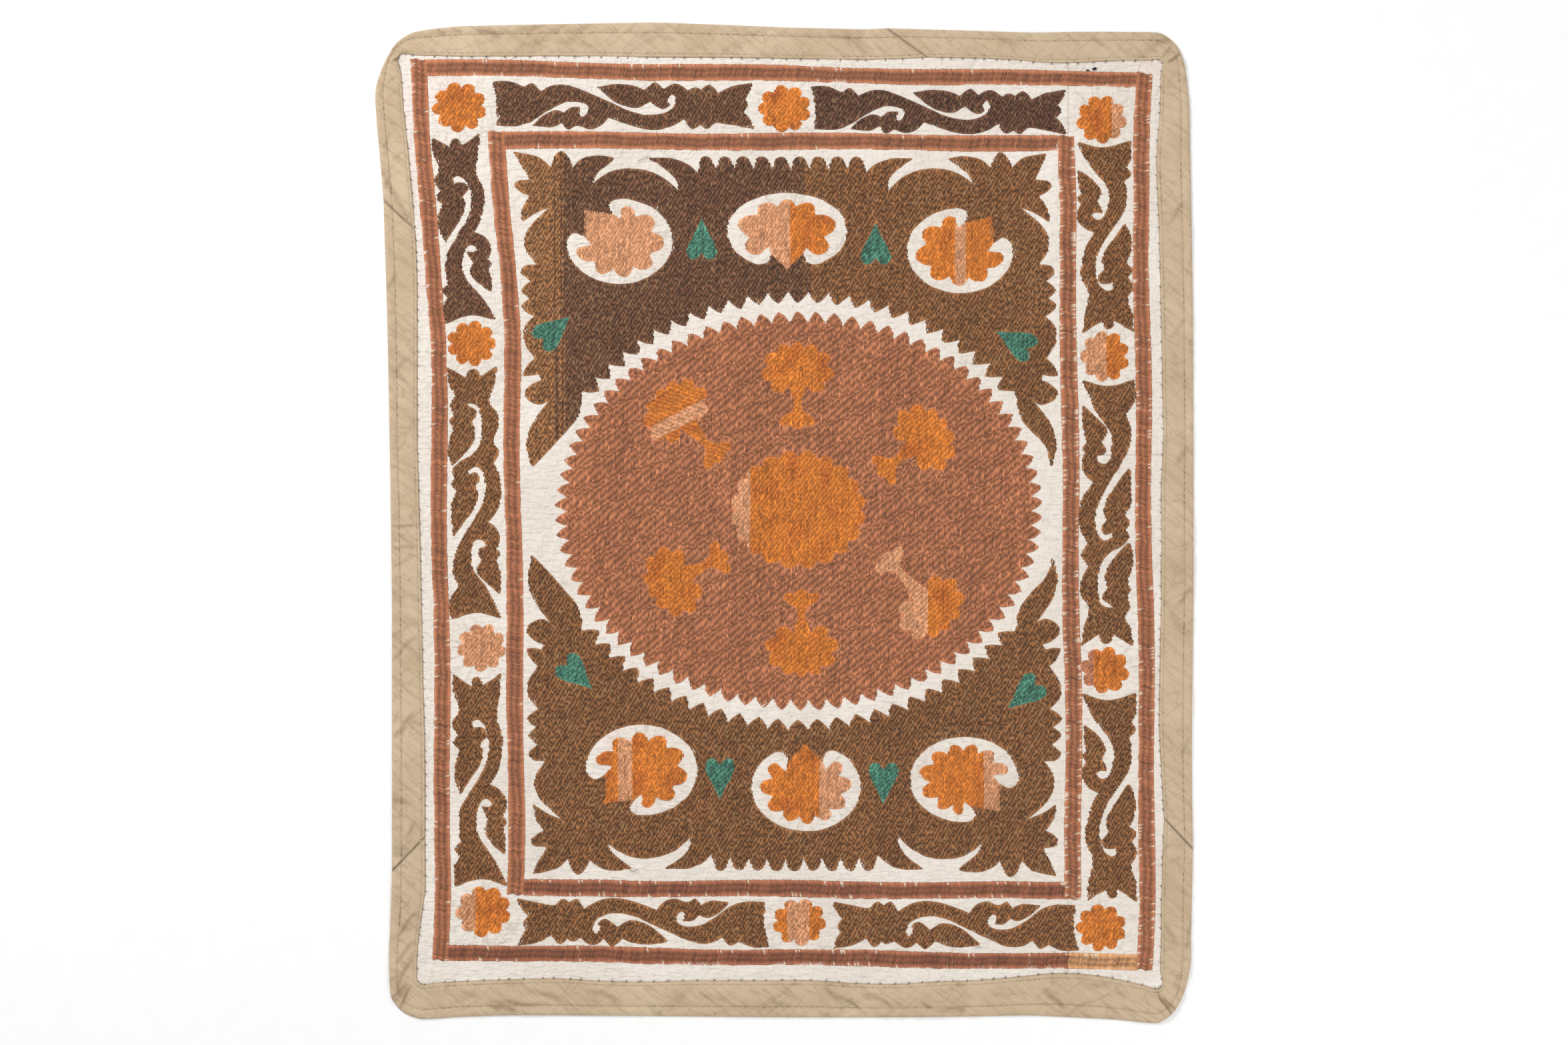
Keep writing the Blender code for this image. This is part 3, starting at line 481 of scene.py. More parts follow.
# Cotton ground.
MASK_CELL = 4 * MM
GROUND_CELL = 5.8 * MM
GROUND_TOP = 0.95 * MM
WRINKLE = 1.9 * MM         # height of the ground's wrinkles between the worked areas
GROUND_PRESSED = 0.45 * MM   # how much lower it lies under the silk
GROUND_LOWEST = 0.15 * MM
GROUND_HEMMED = 0.4 * MM     # its height inside the folded tape
SEAM_SINK = 0.5 * MM
SEAM_REACH = 2 * MM
SEAM_LAP = 1.4 * MM          # how far a side panel goes under its neighbour


def inside_mask(loops, xs, ys):
    """Which points of a grid lie inside the outlines."""
    sides = sides_of(loops)
    mask = np.zeros((len(xs), len(ys)), bool)
    for i, x in enumerate(xs):
        cuts = crossings(sides, x)
        for y0, y1 in zip(cuts[::2], cuts[1::2]):
            mask[i] |= (ys > y0) & (ys < y1)
    return mask


def wrinkle(x, y):
    """Soft creases of thin cotton that the stitching has drawn in, from about -1 to 1.5."""
    bent = noise_at(x * 9, y * 9, 3)
    long_way = noise_at(x * 60 + 3 * bent, y * 19 + bent, 7)
    cross_way = noise_at(x * 23 - bent, y * 75 + 2 * bent, 19)
    small = noise_at(x * 170, y * 140, 31)
    return 0.9 * (1 - 3 * abs(long_way)) + 0.7 * (1 - 3 * abs(cross_way)) + 0.5 * small - 0.5


PUCKER_REACH = {"flower": 84 * MM, "rosette": 60 * MM}
PUCKERS_ROUND = {"flower": 3.2, "rosette": 2.6}


def mark_puckers(mesh):
    """Notes for each point of the ground how it is drawn to the nearest flower, for the creases there, their
    bumps and their painted shade.
    """
    points = np.array([v.co[:2] for v in mesh.vertices])
    towards = np.zeros((len(points), 3))
    nearest = np.full(len(points), 1e9)
    for number, node in enumerate(n for n in WORKED if kind_of(n) in PUCKER_REACH):
        low, high = (np.array(corner[:2]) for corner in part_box(node))
        away = points - (low + high) / 2
        far = np.maximum(np.hypot(*away.T), 1e-6)
        share = far / PUCKER_REACH[kind_of(node)]
        mine = share < nearest
        towards[mine, :2] = (away / far[:, None] * PUCKERS_ROUND[kind_of(node)])[mine]
        towards[mine, 2] = number * 5.3
        nearest[mine] = share[mine]
    drawn = 1 - smooth_step(0.75, 1.0, nearest)
    mesh.attributes.new("towards", "FLOAT_VECTOR", "POINT").data.foreach_set("vector", towards.ravel())
    mesh.attributes.new("drawn", "FLOAT", "POINT").data.foreach_set("value", drawn)


def make_ground(node, worked, material):
    """A panel of the ground: a fine sheet that is drawn in by the stitching and puckers beside it."""
    outline = max(rim_loops(node), key=len)
    low, high = outline.min(axis=0), outline.max(axis=0)
    columns = int((high[0] - low[0]) / GROUND_CELL) + 2
    rows = int((high[1] - low[1]) / GROUND_CELL) + 2
    shape = bmesh.new()
    bmesh.ops.create_grid(shape, x_segments=columns, y_segments=rows, size=0.5)
    span = high - low
    bmesh.ops.transform(shape, verts=shape.verts, matrix=scale_and_shift(span, (low + high) / 2))
    trim_to(shape, outline)
    if node != "ground-main":
        for vert in shape.verts:
            if vert.is_boundary and vert.co.x < low[0] + 0.5 * MM:
                vert.co.x -= SEAM_LAP
            if vert.is_boundary and node == "ground-side-lower" and vert.co.y > high[1] - 0.5 * MM:
                vert.co.y += SEAM_LAP
    for vert in shape.verts:
        point = np.array(vert.co[:2])
        i, j = np.clip((point - worked["low"]) / MASK_CELL, 0, worked["last"]).astype(int)
        free = worked["free"][i, j]
        seam = SEAM_SINK * sum(np.exp(-((point - edge) / SEAM_REACH) ** 2).sum() for edge in (low, high))
        raised, _ = hand_crease(*point)
        z = GROUND_TOP + WRINKLE * free * max(wrinkle(*point), -0.6) * 0.5 - seam + cloth_relief(*point)
        z += raised * free - GROUND_PRESSED * (1 - free)
        if worked["hemmed"][i, j]:
            z = min(z, GROUND_HEMMED)
        vert.co.z = max(z, GROUND_LOWEST)
    piece = place_shape(node + "-cotton", shape, material)
    mark_puckers(piece.data)
    stand_in(piece, node)


def trim_to(shape, outline):
    """Cuts a grid to an outline: cells outside go, and the new edge is drawn onto the line."""
    starts, ends = sides_of([outline])
    outside = []
    for face in shape.faces:
        x, y, _ = face.calc_center_median()
        if (crossings((starts, ends), x) > y).sum() % 2 == 0:
            outside.append(face)
    bmesh.ops.delete(shape, geom=outside, context="FACES")
    side = ends - starts
    for vert in shape.verts:
        if vert.is_boundary:
            p = np.array(vert.co[:2])
            share = ((p - starts) * side).sum(1) / np.maximum((side * side).sum(1), 1e-12)
            near = starts + side * np.clip(share, 0, 1)[:, None]
            vert.co.x, vert.co.y = near[np.argmin(((near - p) ** 2).sum(1))]


def scale_and_shift(span, centre):
    return Matrix.Translation((centre[0], centre[1], 0)) @ Matrix.Diagonal((span[0], span[1], 1, 1))


# The main creases and folds, listed in mm, mostly on the binding.
# Columns: from X, from Y, to X, to Y, width, height, how dark the fold's painted shade is.
CREASES = (
    (-553, 651, -537, 661, 2.4, 1.3, 1.0),
    (-545, 646, -528, 652, 2.2, 0.8, 0.6),
    (-489, 698, -474, 689, 3.0, 1.1, 0.6),
    (-469, 698, -452, 693, 3.0, 1.0, 0.5),
    (-437, 699, -398, 687, 3.5, 1.2, 0.6),
    (-326, 681, -292, 679, 3.0, 0.8, 0.3),
    (-285, 681, -266, 671, 3.0, 1.0, 0.4),
    (-180, 690, -150, 680, 3.5, 0.9, 0.3),
    (-60, 698, -38, 688, 3.5, 0.9, 0.3),
    (60, 690, 96, 683, 3.5, 0.9, 0.3),
    (300, 688, 330, 672, 3.5, 0.9, 0.3),
    (430, 690, 452, 672, 3.5, 0.9, 0.3),
    (537, 649, 559, 663, 2.6, 1.3, 0.9),
    (528, 655, 546, 674, 3.0, 0.8, 0.4),
    (-568, 526, -556, 550, 3.0, 1.0, 0.4),
    (-566, 470, -556, 492, 3.0, 0.9, 0.4),
    (-560, 330, -546, 356, 3.5, 0.9, 0.3),
    (-556, 210, -528, 236, 3.5, 0.8, 0.3),
    (-556, -3, -516, -4, 2.2, 0.9, 0.6),
    (-556, -33, -516, -34, 2.2, 0.9, 0.5),
    (-552, -190, -520, -158, 3.5, 0.9, 0.3),
    (-549, -300, -518, -262, 3.5, 0.9, 0.4),
    (-531, -439, -523, -418, 3.5, 1.1, 0.5),
    (-547, -582, -518, -544, 3.5, 1.2, 0.5),
    (-550, -620, -520, -585, 3.5, 1.1, 0.4),
    (-551, -661, -524, -606, 3.5, 1.2, 0.5),
    (-526, -650, -555, -672, 2.4, 1.6, 0.9),
    (-522, -652, -543, -688, 2.4, 1.4, 0.9),
    (-524, -653, -549, -680, 8.0, 0.3, 0.4),
    (-536, -640, -560, -648, 2.6, 1.0, 0.5),
    (-457, -656, -425, -667, 4.0, 1.1, 0.4),
    (-418, -677, -368, -686, 3.5, 1.2, 0.5),
    (-412, -671, -338, -678, 4.0, 1.2, 0.5),
    (-357, -654, -311, -670, 4.0, 1.2, 0.5),
    (-277, -654, -228, -670, 4.0, 1.2, 0.5),
    (-120, -660, -80, -672, 4.0, 0.9, 0.3),
    (-20, -668, 12, -682, 4.0, 0.9, 0.3),
    (58, -650, 82, -674, 3.0, 1.4, 0.7),
    (73, -660, 114, -687, 3.0, 1.4, 0.7),
    (109, -657, 156, -678, 4.5, 1.2, 0.5),
    (194, -672, 211, -683, 3.0, 1.3, 0.6),
    (211, -683, 256, -684, 3.0, 1.2, 0.6),
    (290, -656, 318, -668, 4.0, 0.9, 0.3),
    (365, -654, 400, -684, 4.0, 1.3, 0.6),
    (425, -645, 466, -651, 3.5, 1.2, 0.5),
    (466, -651, 485, -670, 3.5, 1.2, 0.5),
    (527, -660, 549, -696, 2.6, 1.8, 1.0),
    (533, -664, 553, -687, 2.6, 1.4, 0.9),
    (539, -561, 555, -596, 4.0, 1.2, 0.5),
    (562, -606, 571, -560, 3.5, 1.0, 0.4),
    (552, -330, 572, -300, 3.5, 0.9, 0.3),
    (548, -120, 574, -88, 3.5, 0.9, 0.3),
    (545, 80, 571, 112, 3.5, 0.9, 0.3),
    (540, 260, 566, 290, 3.5, 0.9, 0.3),
    (538, 420, 562, 455, 3.5, 1.0, 0.4),
    (-425, 585, -405, 573, 2.5, 0.8, 0.5),
    (-421, 578, -402, 566, 2.5, 0.8, 0.5),
    (-388, -556, -364, -562, 2.5, 0.8, 0.5),
    (-389, -564, -366, -569, 2.5, 0.8, 0.4),
)
CREASE_TABLE = np.array(CREASES) * np.array((MM, MM, MM, MM, 1.35 * MM, 1.25 * MM, 1.0))


def hand_crease(x, y):
    """Height and painted shade of the listed folds at a point. A fold is steep on one side, and its painted
    shade lies on that side.
    """
    x0, y0, x1, y1, width, height, dark = CREASE_TABLE.T
    ahead = np.hypot(x1 - x0, y1 - y0)
    ux, uy = (x1 - x0) / ahead, (y1 - y0) / ahead
    along = (x - x0) * ux + (y - y0) * uy
    side = (y - y0) * ux - (x - x0) * uy + 0.0012 * np.sin(along * 160)
    fade = smooth_step(-0.1, 0.3, along / ahead) * (1 - smooth_step(0.7, 1.1, along / ahead))
    slope = np.where(side > 0, width, width * 0.5)
    raised = (height * np.exp(-((side / slope) ** 2)) * fade).max()
    shaded = (dark * np.exp(-(((side + width * 0.5) / (width * 0.6)) ** 2)) * fade).max()
    return raised, shaded


# Bias binding.
TAPE_INNER_EDGE = 2.85 * MM     # heights of the tape's two edges on its solid
TAPE_OUTER_EDGE = 2.55 * MM
TAPE_CELL = 2.9 * MM
RAIL_STEP = 2 * MM
JOIN_REACH = 160 * MM      # how far from a join the rows start to slant
# Section of the tape. Columns: share of its width from the inner edge, height in mm.
TAPE_SECTION = (
    (0.0, 1.15), (0.012, 1.9), (0.035, 2.45), (0.085, 2.5), (0.11, 2.15), (0.14, 2.5), (0.22, 2.7),
    (0.32, 2.8), (0.42, 2.85), (0.52, 2.85), (0.60, 2.75), (0.67, 2.55), (0.715, 2.15), (0.76, 2.55),
    (0.83, 2.95), (0.90, 3.15), (0.95, 3.1), (0.98, 2.7), (0.995, 1.9), (1.0, 0.9), (0.997, 0.15),
)
HEM_STITCH_AT = 0.11        # the two rows of stitching, as shares of the tape's width
RUNNING_STITCH_AT = 0.715
TAPE_CREASE = 1.7 * MM
TAPE_LOWEST = 1.3           # in mm, so that no crease dips to the ground inside
TAPE_RISE = 2.2 * MM        # how far a crease may stand above its height in the section
JOIN_LAP = 0.6 * MM         # how far the strips run into each other at a join
JOIN_SINK = 0.9 * MM
DRAG_SHADE = 0.42           # how dark the painted shade of the drag creases, the stitched furrows and the hemmed edge is
FURROW_SHADE = 0.32
HEM_SHADE = 0.45
TAPE_FACE = 45 * MM         # width of the tape's upper face


def tape_rails(node):
    """The inner and the outer edge of a strip of tape, station by station, from its solid."""
    loop = rim_loops(node, upright=0.5, axes=3)[0]
    inner, outer = (np.abs(loop[:, 2] - edge) < 0.03 * MM for edge in (TAPE_INNER_EDGE, TAPE_OUTER_EDGE))
    first = np.flatnonzero(outer & ~np.roll(outer, 1))[0]
    loop, inner, outer = (np.roll(values, -first, axis=0) for values in (loop, inner, outer))
    return loop[inner][::-1, :2], loop[outer][:, :2]


def along_rail(rail, shares):
    """Points on a smooth curve through an edge's stations. 2.5 is halfway from the third to the fourth."""
    at = np.clip(shares.astype(int), 0, len(rail) - 2)
    sides = np.diff(rail, axis=0)
    before, ahead, after = (sides[np.clip(at + k, 0, len(sides) - 1)] for k in (-1, 0, 1))
    start, end = halfway(before, ahead), halfway(ahead, after)
    return curve_between(rail[at], rail[at + 1], start, end, (shares - at)[:, None])


def dense_rail(rail):
    """The smooth curve through an edge's stations, as close points, and how far along it each one is."""
    parts = [max(1, int(step / RAIL_STEP)) for step in np.hypot(*np.diff(rail, axis=0).T)]
    shares = np.concatenate([i + np.arange(n) / n for i, n in enumerate(parts)] + [[len(parts) - 1e-6]])
    curve = along_rail(rail, shares)
    return curve, running_length(curve)


def running_length(line):
    return np.concatenate(([0], np.cumsum(np.hypot(*np.diff(line, axis=0).T))))


def tape_lines(node):
    """Matched points on the two edges of a strip, square to it, and slanting towards its joins."""
    (inner, inner_run), (outer, outer_run) = (dense_rail(rail) for rail in tape_rails(node))
    total = outer_run[-1]
    at = np.linspace(0, total, int(total / TAPE_CELL) + 1)
    outer_line = np.column_stack([np.interp(at, outer_run, outer[:, k]) for k in (0, 1)])
    gaps = ((outer_line[:, None, :] - inner[None, :, :]) ** 2).sum(2)
    match = np.maximum.accumulate(inner_run[np.argmin(gaps, axis=1)])
    reach = int(JOIN_REACH / TAPE_CELL)
    match[:reach] = np.linspace(0, match[reach], reach, endpoint=False)
    match[-reach:] = np.linspace(match[-reach - 1], inner_run[-1], reach + 1)[1:]
    for _ in range(5):
        match[1:-1] = (match[2:] + match[:-2] + 2 * match[1:-1]) / 4
    inner_line = np.column_stack([np.interp(match, inner_run, inner[:, k]) for k in (0, 1)])
    for line in (inner_line, outer_line):
        for end, before in ((0, 1), (-1, -2)):
            outward = line[end] - line[before]
            line[end] += outward / hypot(*outward) * JOIN_LAP
    return inner_line, outer_line, running_length((inner_line + outer_line) / 2)


def tape_crease(run, across, seed):
    """Drag creases of a bias strip, which slant across it, and a few short pulls."""
    slant = run * 0.75 + across * 0.9
    level = across * 0.6 - run * 0.5
    strength = 0.65 + 0.6 * noise_at(run * 6, seed, 1)
    bend = noise_at(run * 14, across * 20, seed)
    broad = noise_at(slant * 60 + 1.5 * bend, level * 12, seed + 5)
    fine = noise_at(slant * 130 + 2 * bend, level * 26, seed + 9)
    return strength * (1.1 * (1 - 3.2 * abs(broad)) + 0.6 * (1 - 3 * abs(fine))) + 0.4 * bend


def tape_point(inner, outer, run, share, height, seed):
    """Place of a point of the tape, and how dark the painted shade of its creases, stitched furrows and edge
    makes it.
    """
    x, y = inner + (outer - inner) * share
    width = hypot(*(outer - inner))
    free = float(smooth_step(0.0, 0.2, share) * (1 - smooth_step(0.93, 1.0, share)))
    loose = 0.75 + 0.55 * float(smooth_step(0.70, 0.80, share))
    held = 1 - 0.6 * np.exp(-((share - RUNNING_STITCH_AT) / 0.04) ** 2)
    drag = tape_crease(run, share * width, seed)
    raised, shaded = hand_crease(x, y)
    z = height * MM + TAPE_CREASE * free * held * loose * drag
    if 0.0 < share < 0.99:
        z += cloth_relief(x, y) + raised * free
    dark = DRAG_SHADE * free * max(0.0, -drag - 0.2) + shaded
    if share in (RUNNING_STITCH_AT, HEM_STITCH_AT):
        dark += FURROW_SHADE
    if share < 0.02:
        dark += HEM_SHADE
    z = min(max(z, min(height, TAPE_LOWEST) * MM), height * MM + TAPE_RISE)
    return x, y, z, min(dark, 1.0)


def make_tape(node, material, seed):
    """A strip of binding as one sheet, folded over the ground's edge, with its drag creases."""
    inner_line, outer_line, run = tape_lines(node)
    shape = bmesh.new()
    across = len(TAPE_SECTION)
    bmesh.ops.create_grid(shape, x_segments=len(run) - 1, y_segments=across - 1, size=1)
    uv = shape.loops.layers.uv.new("tape")
    crease = shape.verts.layers.float.new("crease")
    order = sorted(shape.verts, key=lambda v: (round(v.co.x, 6), round(v.co.y, 6)))
    places = {}
    for i in range(len(run)):
        at_join = i in (0, len(run) - 1)
        for j, (share, height) in enumerate(TAPE_SECTION):
            x, y, z, dark = tape_point(inner_line[i], outer_line[i], run[i], share, height, seed)
            vert = order[i * across + j]
            vert.co = (x, y, z - (JOIN_SINK if at_join and z > 1.5 * MM else 0.0))
            # Painted shade of the point, full at the joins.
            vert[crease] = 1.0 if at_join else dark
            places[vert] = (run[i], share * TAPE_FACE)
    for face in shape.faces:
        for corner in face.loops:
            corner[uv].uv = places[corner.vert]
    if face_up(shape) < 0:
        bmesh.ops.reverse_faces(shape, faces=shape.faces)
    area = abs(face_up(shape))
    piece = place_shape(node + "-tape", shape, material)
    stand_in(piece, node)
    return inner_line, outer_line, run


def face_up(shape):
    """The sum of the faces' upward areas, after their normals are worked out."""
    shape.normal_update()
    return sum(face.normal.z * face.calc_area() for face in shape.faces)


# Sewing: running stitches, hemming stitches and loose ends.
SEWING_THREADS = {
    "grey": (150, 140, 120), "khaki": (118, 102, 84), "cream": (214, 190, 152), "dark": (70, 66, 72)}
INK = (44, 46, 58)
# The two rows of stitching. Columns: share of the tape's width, a stitch's length, width and height in mm.
STITCH_ROWS = ((RUNNING_STITCH_AT, 4.8, 0.7, 0.6), (HEM_STITCH_AT, 3.2, 0.6, 0.6))
STITCH_TOP = 2.45 * MM
SLANTED_STITCH = (5.4 * MM, 1.0 * MM, 1.4 * MM)     # size of a hemming stitch over the inner edge


def bead_template():
    """A small round-ended stitch along +X, one unit long, wide and high."""
    shape = bmesh.new()
    bmesh.ops.create_uvsphere(shape, u_segments=5, v_segments=4, radius=0.5)
    turn = Matrix.Rotation(pi / 2, 4, "Y")
    bmesh.ops.transform(shape, verts=shape.verts, matrix=turn)
    bmesh.ops.triangulate(shape, faces=shape.faces)
    shape.verts.index_update()
    points = np.array([v.co[:] for v in shape.verts])
    faces = np.array([[v.index for v in face.verts] for face in shape.faces])
    shape.free()
    return points, faces


def sewn(name, stitches, material):
    """Joins many stitches. Columns of a stitch: X, Y, Z, heading, length, width, height."""
    points, faces = bead_template()
    all_points, all_faces = [], []
    for count, (x, y, z, heading, length, width, height) in enumerate(stitches):
        c, s = cos(heading), sin(heading)
        along, across = points[:, 0] * length, points[:, 1] * width
        all_points.append(np.column_stack((
            x + along * c - across * s, y + along * s + across * c, z + points[:, 2] * height)))
        all_faces.append(faces + count * len(points))
    mesh = mesh_of_quads(name, np.concatenate(all_points), np.concatenate(all_faces))
    mesh.materials.append(material)
    piece = place(name, mesh)
    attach(piece, "root")
    return piece


def stations(run, first, pitch, stray):
    """Uneven steps along a strip of tape, each as the number of the nearest point of its edges."""
    for at in np.arange(first, run[-1] - 4 * MM, pitch):
        at += stray * random.standard_normal()
        yield min(int(np.searchsorted(run, at)), len(run) - 2)


def tape_stitches(strips):
    """Places of the running stitches and of the hemming stitches along the strips of tape."""
    running, hemming = [], []
    for inner, outer, run in strips:
        for i in stations(run, 6 * MM, 8.5 * MM, 0.8 * MM):
            ahead = outer[i + 1] - outer[i]
            for share, length, width, height in STITCH_ROWS:
                p = inner[i] + (outer[i] - inner[i]) * (share + 0.006 * random.standard_normal())
                heading = np.arctan2(ahead[1], ahead[0]) + 0.06 * random.standard_normal()
                length *= 1 + 0.15 * random.standard_normal()
                z = STITCH_TOP + cloth_relief(*p)
                running.append((*p, z, heading, length * MM, width * MM, height * MM))
        for i in stations(run, 9 * MM, 20 * MM, 2.5 * MM):
            outward, ahead = outer[i] - inner[i], outer[i + 1] - outer[i]
            outward = outward / hypot(*outward)
            way = outward * 0.75 - ahead / hypot(*ahead) * 0.65
            p = inner[i] - outward * 0.4 * MM
            hemming.append((*p, 2.1 * MM, np.arctan2(way[1], way[0]), *SLANTED_STITCH))
    return running, hemming


# Loose ends of thread that lie on the cloth. Columns: name, thread, thickness in mm, points in mm.
LOOSE_ENDS = (
    ("loose-end-right", "cream", 0.6,
     ((478, 196), (487, 193), (492, 185), (494, 172), (500, 162), (505, 158))),
    ("loose-end-low-left", "cream", 0.6,
     ((-137, -415), (-131, -425), (-129, -438), (-133, -449), (-124, -456))),
    ("loose-end-low-middle", "cream", 0.5, ((250, -582), (242, -590), (238, -600), (236, -612))),
    ("loose-end-top", "dark", 0.5, ((-206, 509), (-197, 513), (-189, 514), (-179, 510), (-170, 505))),
    ("loose-end-middle", "dark", 0.5, ((-27, 88), (-24, 80), (-27, 70), (-22, 62))),
    ("loose-end-bottom-left", "dark", 0.8, ((-217, -490), (-211, -491), (-206, -489))),
    ("loose-end-bottom", "dark", 0.6, ((244, -580), (252, -585), (262, -588), (270, -591))),
    ("loose-end-bottom-low", "dark", 0.6, ((269, -600), (274, -598), (278, -598))),
)


# Two spots of ink beside the top band. Columns of a spot: as of a stitch.
INK_SPOTS = (
    (0.4374, 0.6388, 0.0019, 0.3, 0.0070, 0.0048, 0.0014),
    (0.4278, 0.6368, 0.0019, 0.1, 0.0046, 0.0026, 0.0012),
)


def make_loose_end(name, thick, route, material):
    curve = bpy.data.curves.new(name, "CURVE")
    curve.dimensions = "3D"
    curve.bevel_depth = thick / 2 * MM
    curve.bevel_resolution = 1
    curve.resolution_u = 6
    curve.use_fill_caps = True
    spline = curve.splines.new("BEZIER")
    spline.bezier_points.add(len(route) - 1)
    for i, (point, (x, y)) in enumerate(zip(spline.bezier_points, route)):
        point.co = (x * MM, y * MM, (2.7 + 0.5 * (i % 2)) * MM + cloth_relief(x * MM, y * MM))
        point.handle_left_type = point.handle_right_type = "AUTO"
    guide = bpy.data.objects.new(name + "-line", curve)
    bpy.context.scene.collection.objects.link(guide)
    graph = bpy.context.evaluated_depsgraph_get()
    mesh = bpy.data.meshes.new_from_object(guide.evaluated_get(graph))
    bpy.data.objects.remove(guide)
    mesh.materials.append(material)
    mesh.shade_smooth()
    piece = place(name, mesh)
    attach(piece, "root")
    return piece


# Materials.
class Finish:
    """A procedural material, with short calls for its nodes."""

    def __init__(self, name, roughness, sheen=0.0):
        self.material = bpy.data.materials.new(name)
        self.material.use_nodes = True
        self.nodes = self.material.node_tree.nodes
        self.links = self.material.node_tree.links
        self.shader = self.nodes["Principled BSDF"]
        self.shader.inputs["Roughness"].default_value = roughness
        self.shader.inputs["Sheen Weight"].default_value = sheen
        self.shader.inputs["Sheen Roughness"].default_value = 0.5
        self.shader.inputs["Specular IOR Level"].default_value = 0.3
        coordinates = self.nodes.new("ShaderNodeTexCoord").outputs
        self.place, self.uv = coordinates["Object"], coordinates["UV"]

    def node(self, kind, sockets=(), **settings):
        """A new node. Each of its sockets takes a value or another node's output."""
        made = self.nodes.new("ShaderNode" + kind)
        for key, value in settings.items():
            setattr(made, key, value)
        for socket, value in dict(sockets).items():
            if isinstance(value, bpy.types.NodeSocket):
                self.links.new(value, made.inputs[socket])
            else:
                made.inputs[socket].default_value = value
        return made

    def noted(self, name, output="Fac"):
        """What is noted on the points of the piece itself."""
        return self.node("Attribute", attribute_name=name).outputs[output]

    def mapped(self, source, scale, turn):
        sockets = {
            "Vector": source, "Scale": tuple(1 / size for size in scale), "Rotation": (0, 0, radians(turn))}
        return self.node("Mapping", sockets, vector_type="TEXTURE").outputs["Vector"]

    def speckle(self, scale, detail=2.0, turn=0.0, distortion=0.0, source=None):
        """Uneven patches. Scale: about how many there are to a metre, each way."""
        place = self.mapped(self.place if source is None else source, scale, turn)
        sockets = {"Scale": 1.0, "Detail": detail, "Distortion": distortion, "Vector": place}
        return self.node("TexNoise", sockets).outputs["Fac"]

    def rows(self, size, direction, distortion, turn=0.0):
        """Even rows, such as those of a weave."""
        place = self.mapped(self.place, (size, size, size if direction == "DIAGONAL" else 1), turn)
        sockets = {"Scale": 1.0, "Distortion": distortion, "Detail Scale": 2.0, "Vector": place}
        return self.node("TexWave", sockets, bands_direction=direction).outputs["Fac"]

    def sum(self, a, b, kind="ADD"):
        return self.node("Math", {0: a, 1: b}, operation=kind).outputs[0]

    def times(self, a, b):
        return self.sum(a, b, "MULTIPLY")

    def range(self, value, low, high, to_low, to_high):
        sockets = {"Value": value, "From Min": low, "From Max": high, "To Min": to_low, "To Max": to_high}
        return self.node("MapRange", sockets).outputs["Result"]

    def line(self, value, middle, full, gone, strength):
        """A thin line where a value is near its middle one, full up to one distance and gone at another."""
        off = self.sum(self.sum(value, -middle), 0.0, "ABSOLUTE")
        return self.range(off, full, gone, strength, 0.0)

    def mix(self, share, a, b, kind="MIX"):
        a, b = ((*colour, 1.0) if isinstance(colour, tuple) else colour for colour in (a, b))
        return self.node("Mix", {0: share, 6: a, 7: b}, data_type="RGBA", blend_type=kind).outputs[2]

    def tint(self, colour, value, low, high, strength, rgb):
        """The colour, mixed with another one as a value goes from low to high."""
        return self.mix(self.range(value, low, high, 0.0, strength), colour, lit(rgb))

    def bump(self, height, distance, strength=1.0, under=None):
        sockets = {"Distance": distance, "Strength": strength, "Height": height}
        if under is not None:
            sockets["Normal"] = under
        return self.node("Bump", sockets).outputs["Normal"]

    def finish(self, colour, normal):
        self.links.new(colour, self.shader.inputs["Base Color"])
        self.links.new(normal, self.shader.inputs["Normal"])
        return self.material


def lit(rgb):
    return tuple(float(v) for v in as_light(rgb))


def silk():
    """Floss silk: the thread's own dye with its painted crown light, painted shade where it is tied down, a
    slight painted highlight between ties, and fine fibres along it.
    """
    look = Finish("couched silk", 0.62, sheen=0.12)
    fibres = look.speckle((3200, 260, 1), detail=3.0, source=look.uv)
    patch = look.speckle((16, 16, 16), detail=3.0)
    shade = look.times(look.range(fibres, 0.3, 0.7, 0.86, 1.12), look.range(patch, 0.3, 0.7, 0.93, 1.07))
    # Painted shade where the ties pull the thread down, and a slight painted highlight between them.
    shade = look.times(shade, look.range(look.noted("painted_tie_shade"), 0.0, 1.6, 1.12, 0.10))
    grey = look.node("CombineColor", {0: shade, 1: shade, 2: shade}).outputs[0]
    colour = look.mix(1.0, look.noted("dye", "Color"), grey, "MULTIPLY")
    return look.finish(colour, look.bump(fibres, 0.25 * MM, 0.5))


# Old pink stains of the ground. Columns: middle in mm, reach in mm.
PINK_STAINS = (((-487, 611), 52), ((-531, 588), 44), ((-533, 500), 60), ((-508, 330), 40))
SEAM_LINE = (0.5 * MM, 1.3 * MM, 0.6)    # where a seam's dark line is full, where it is gone, and its strength


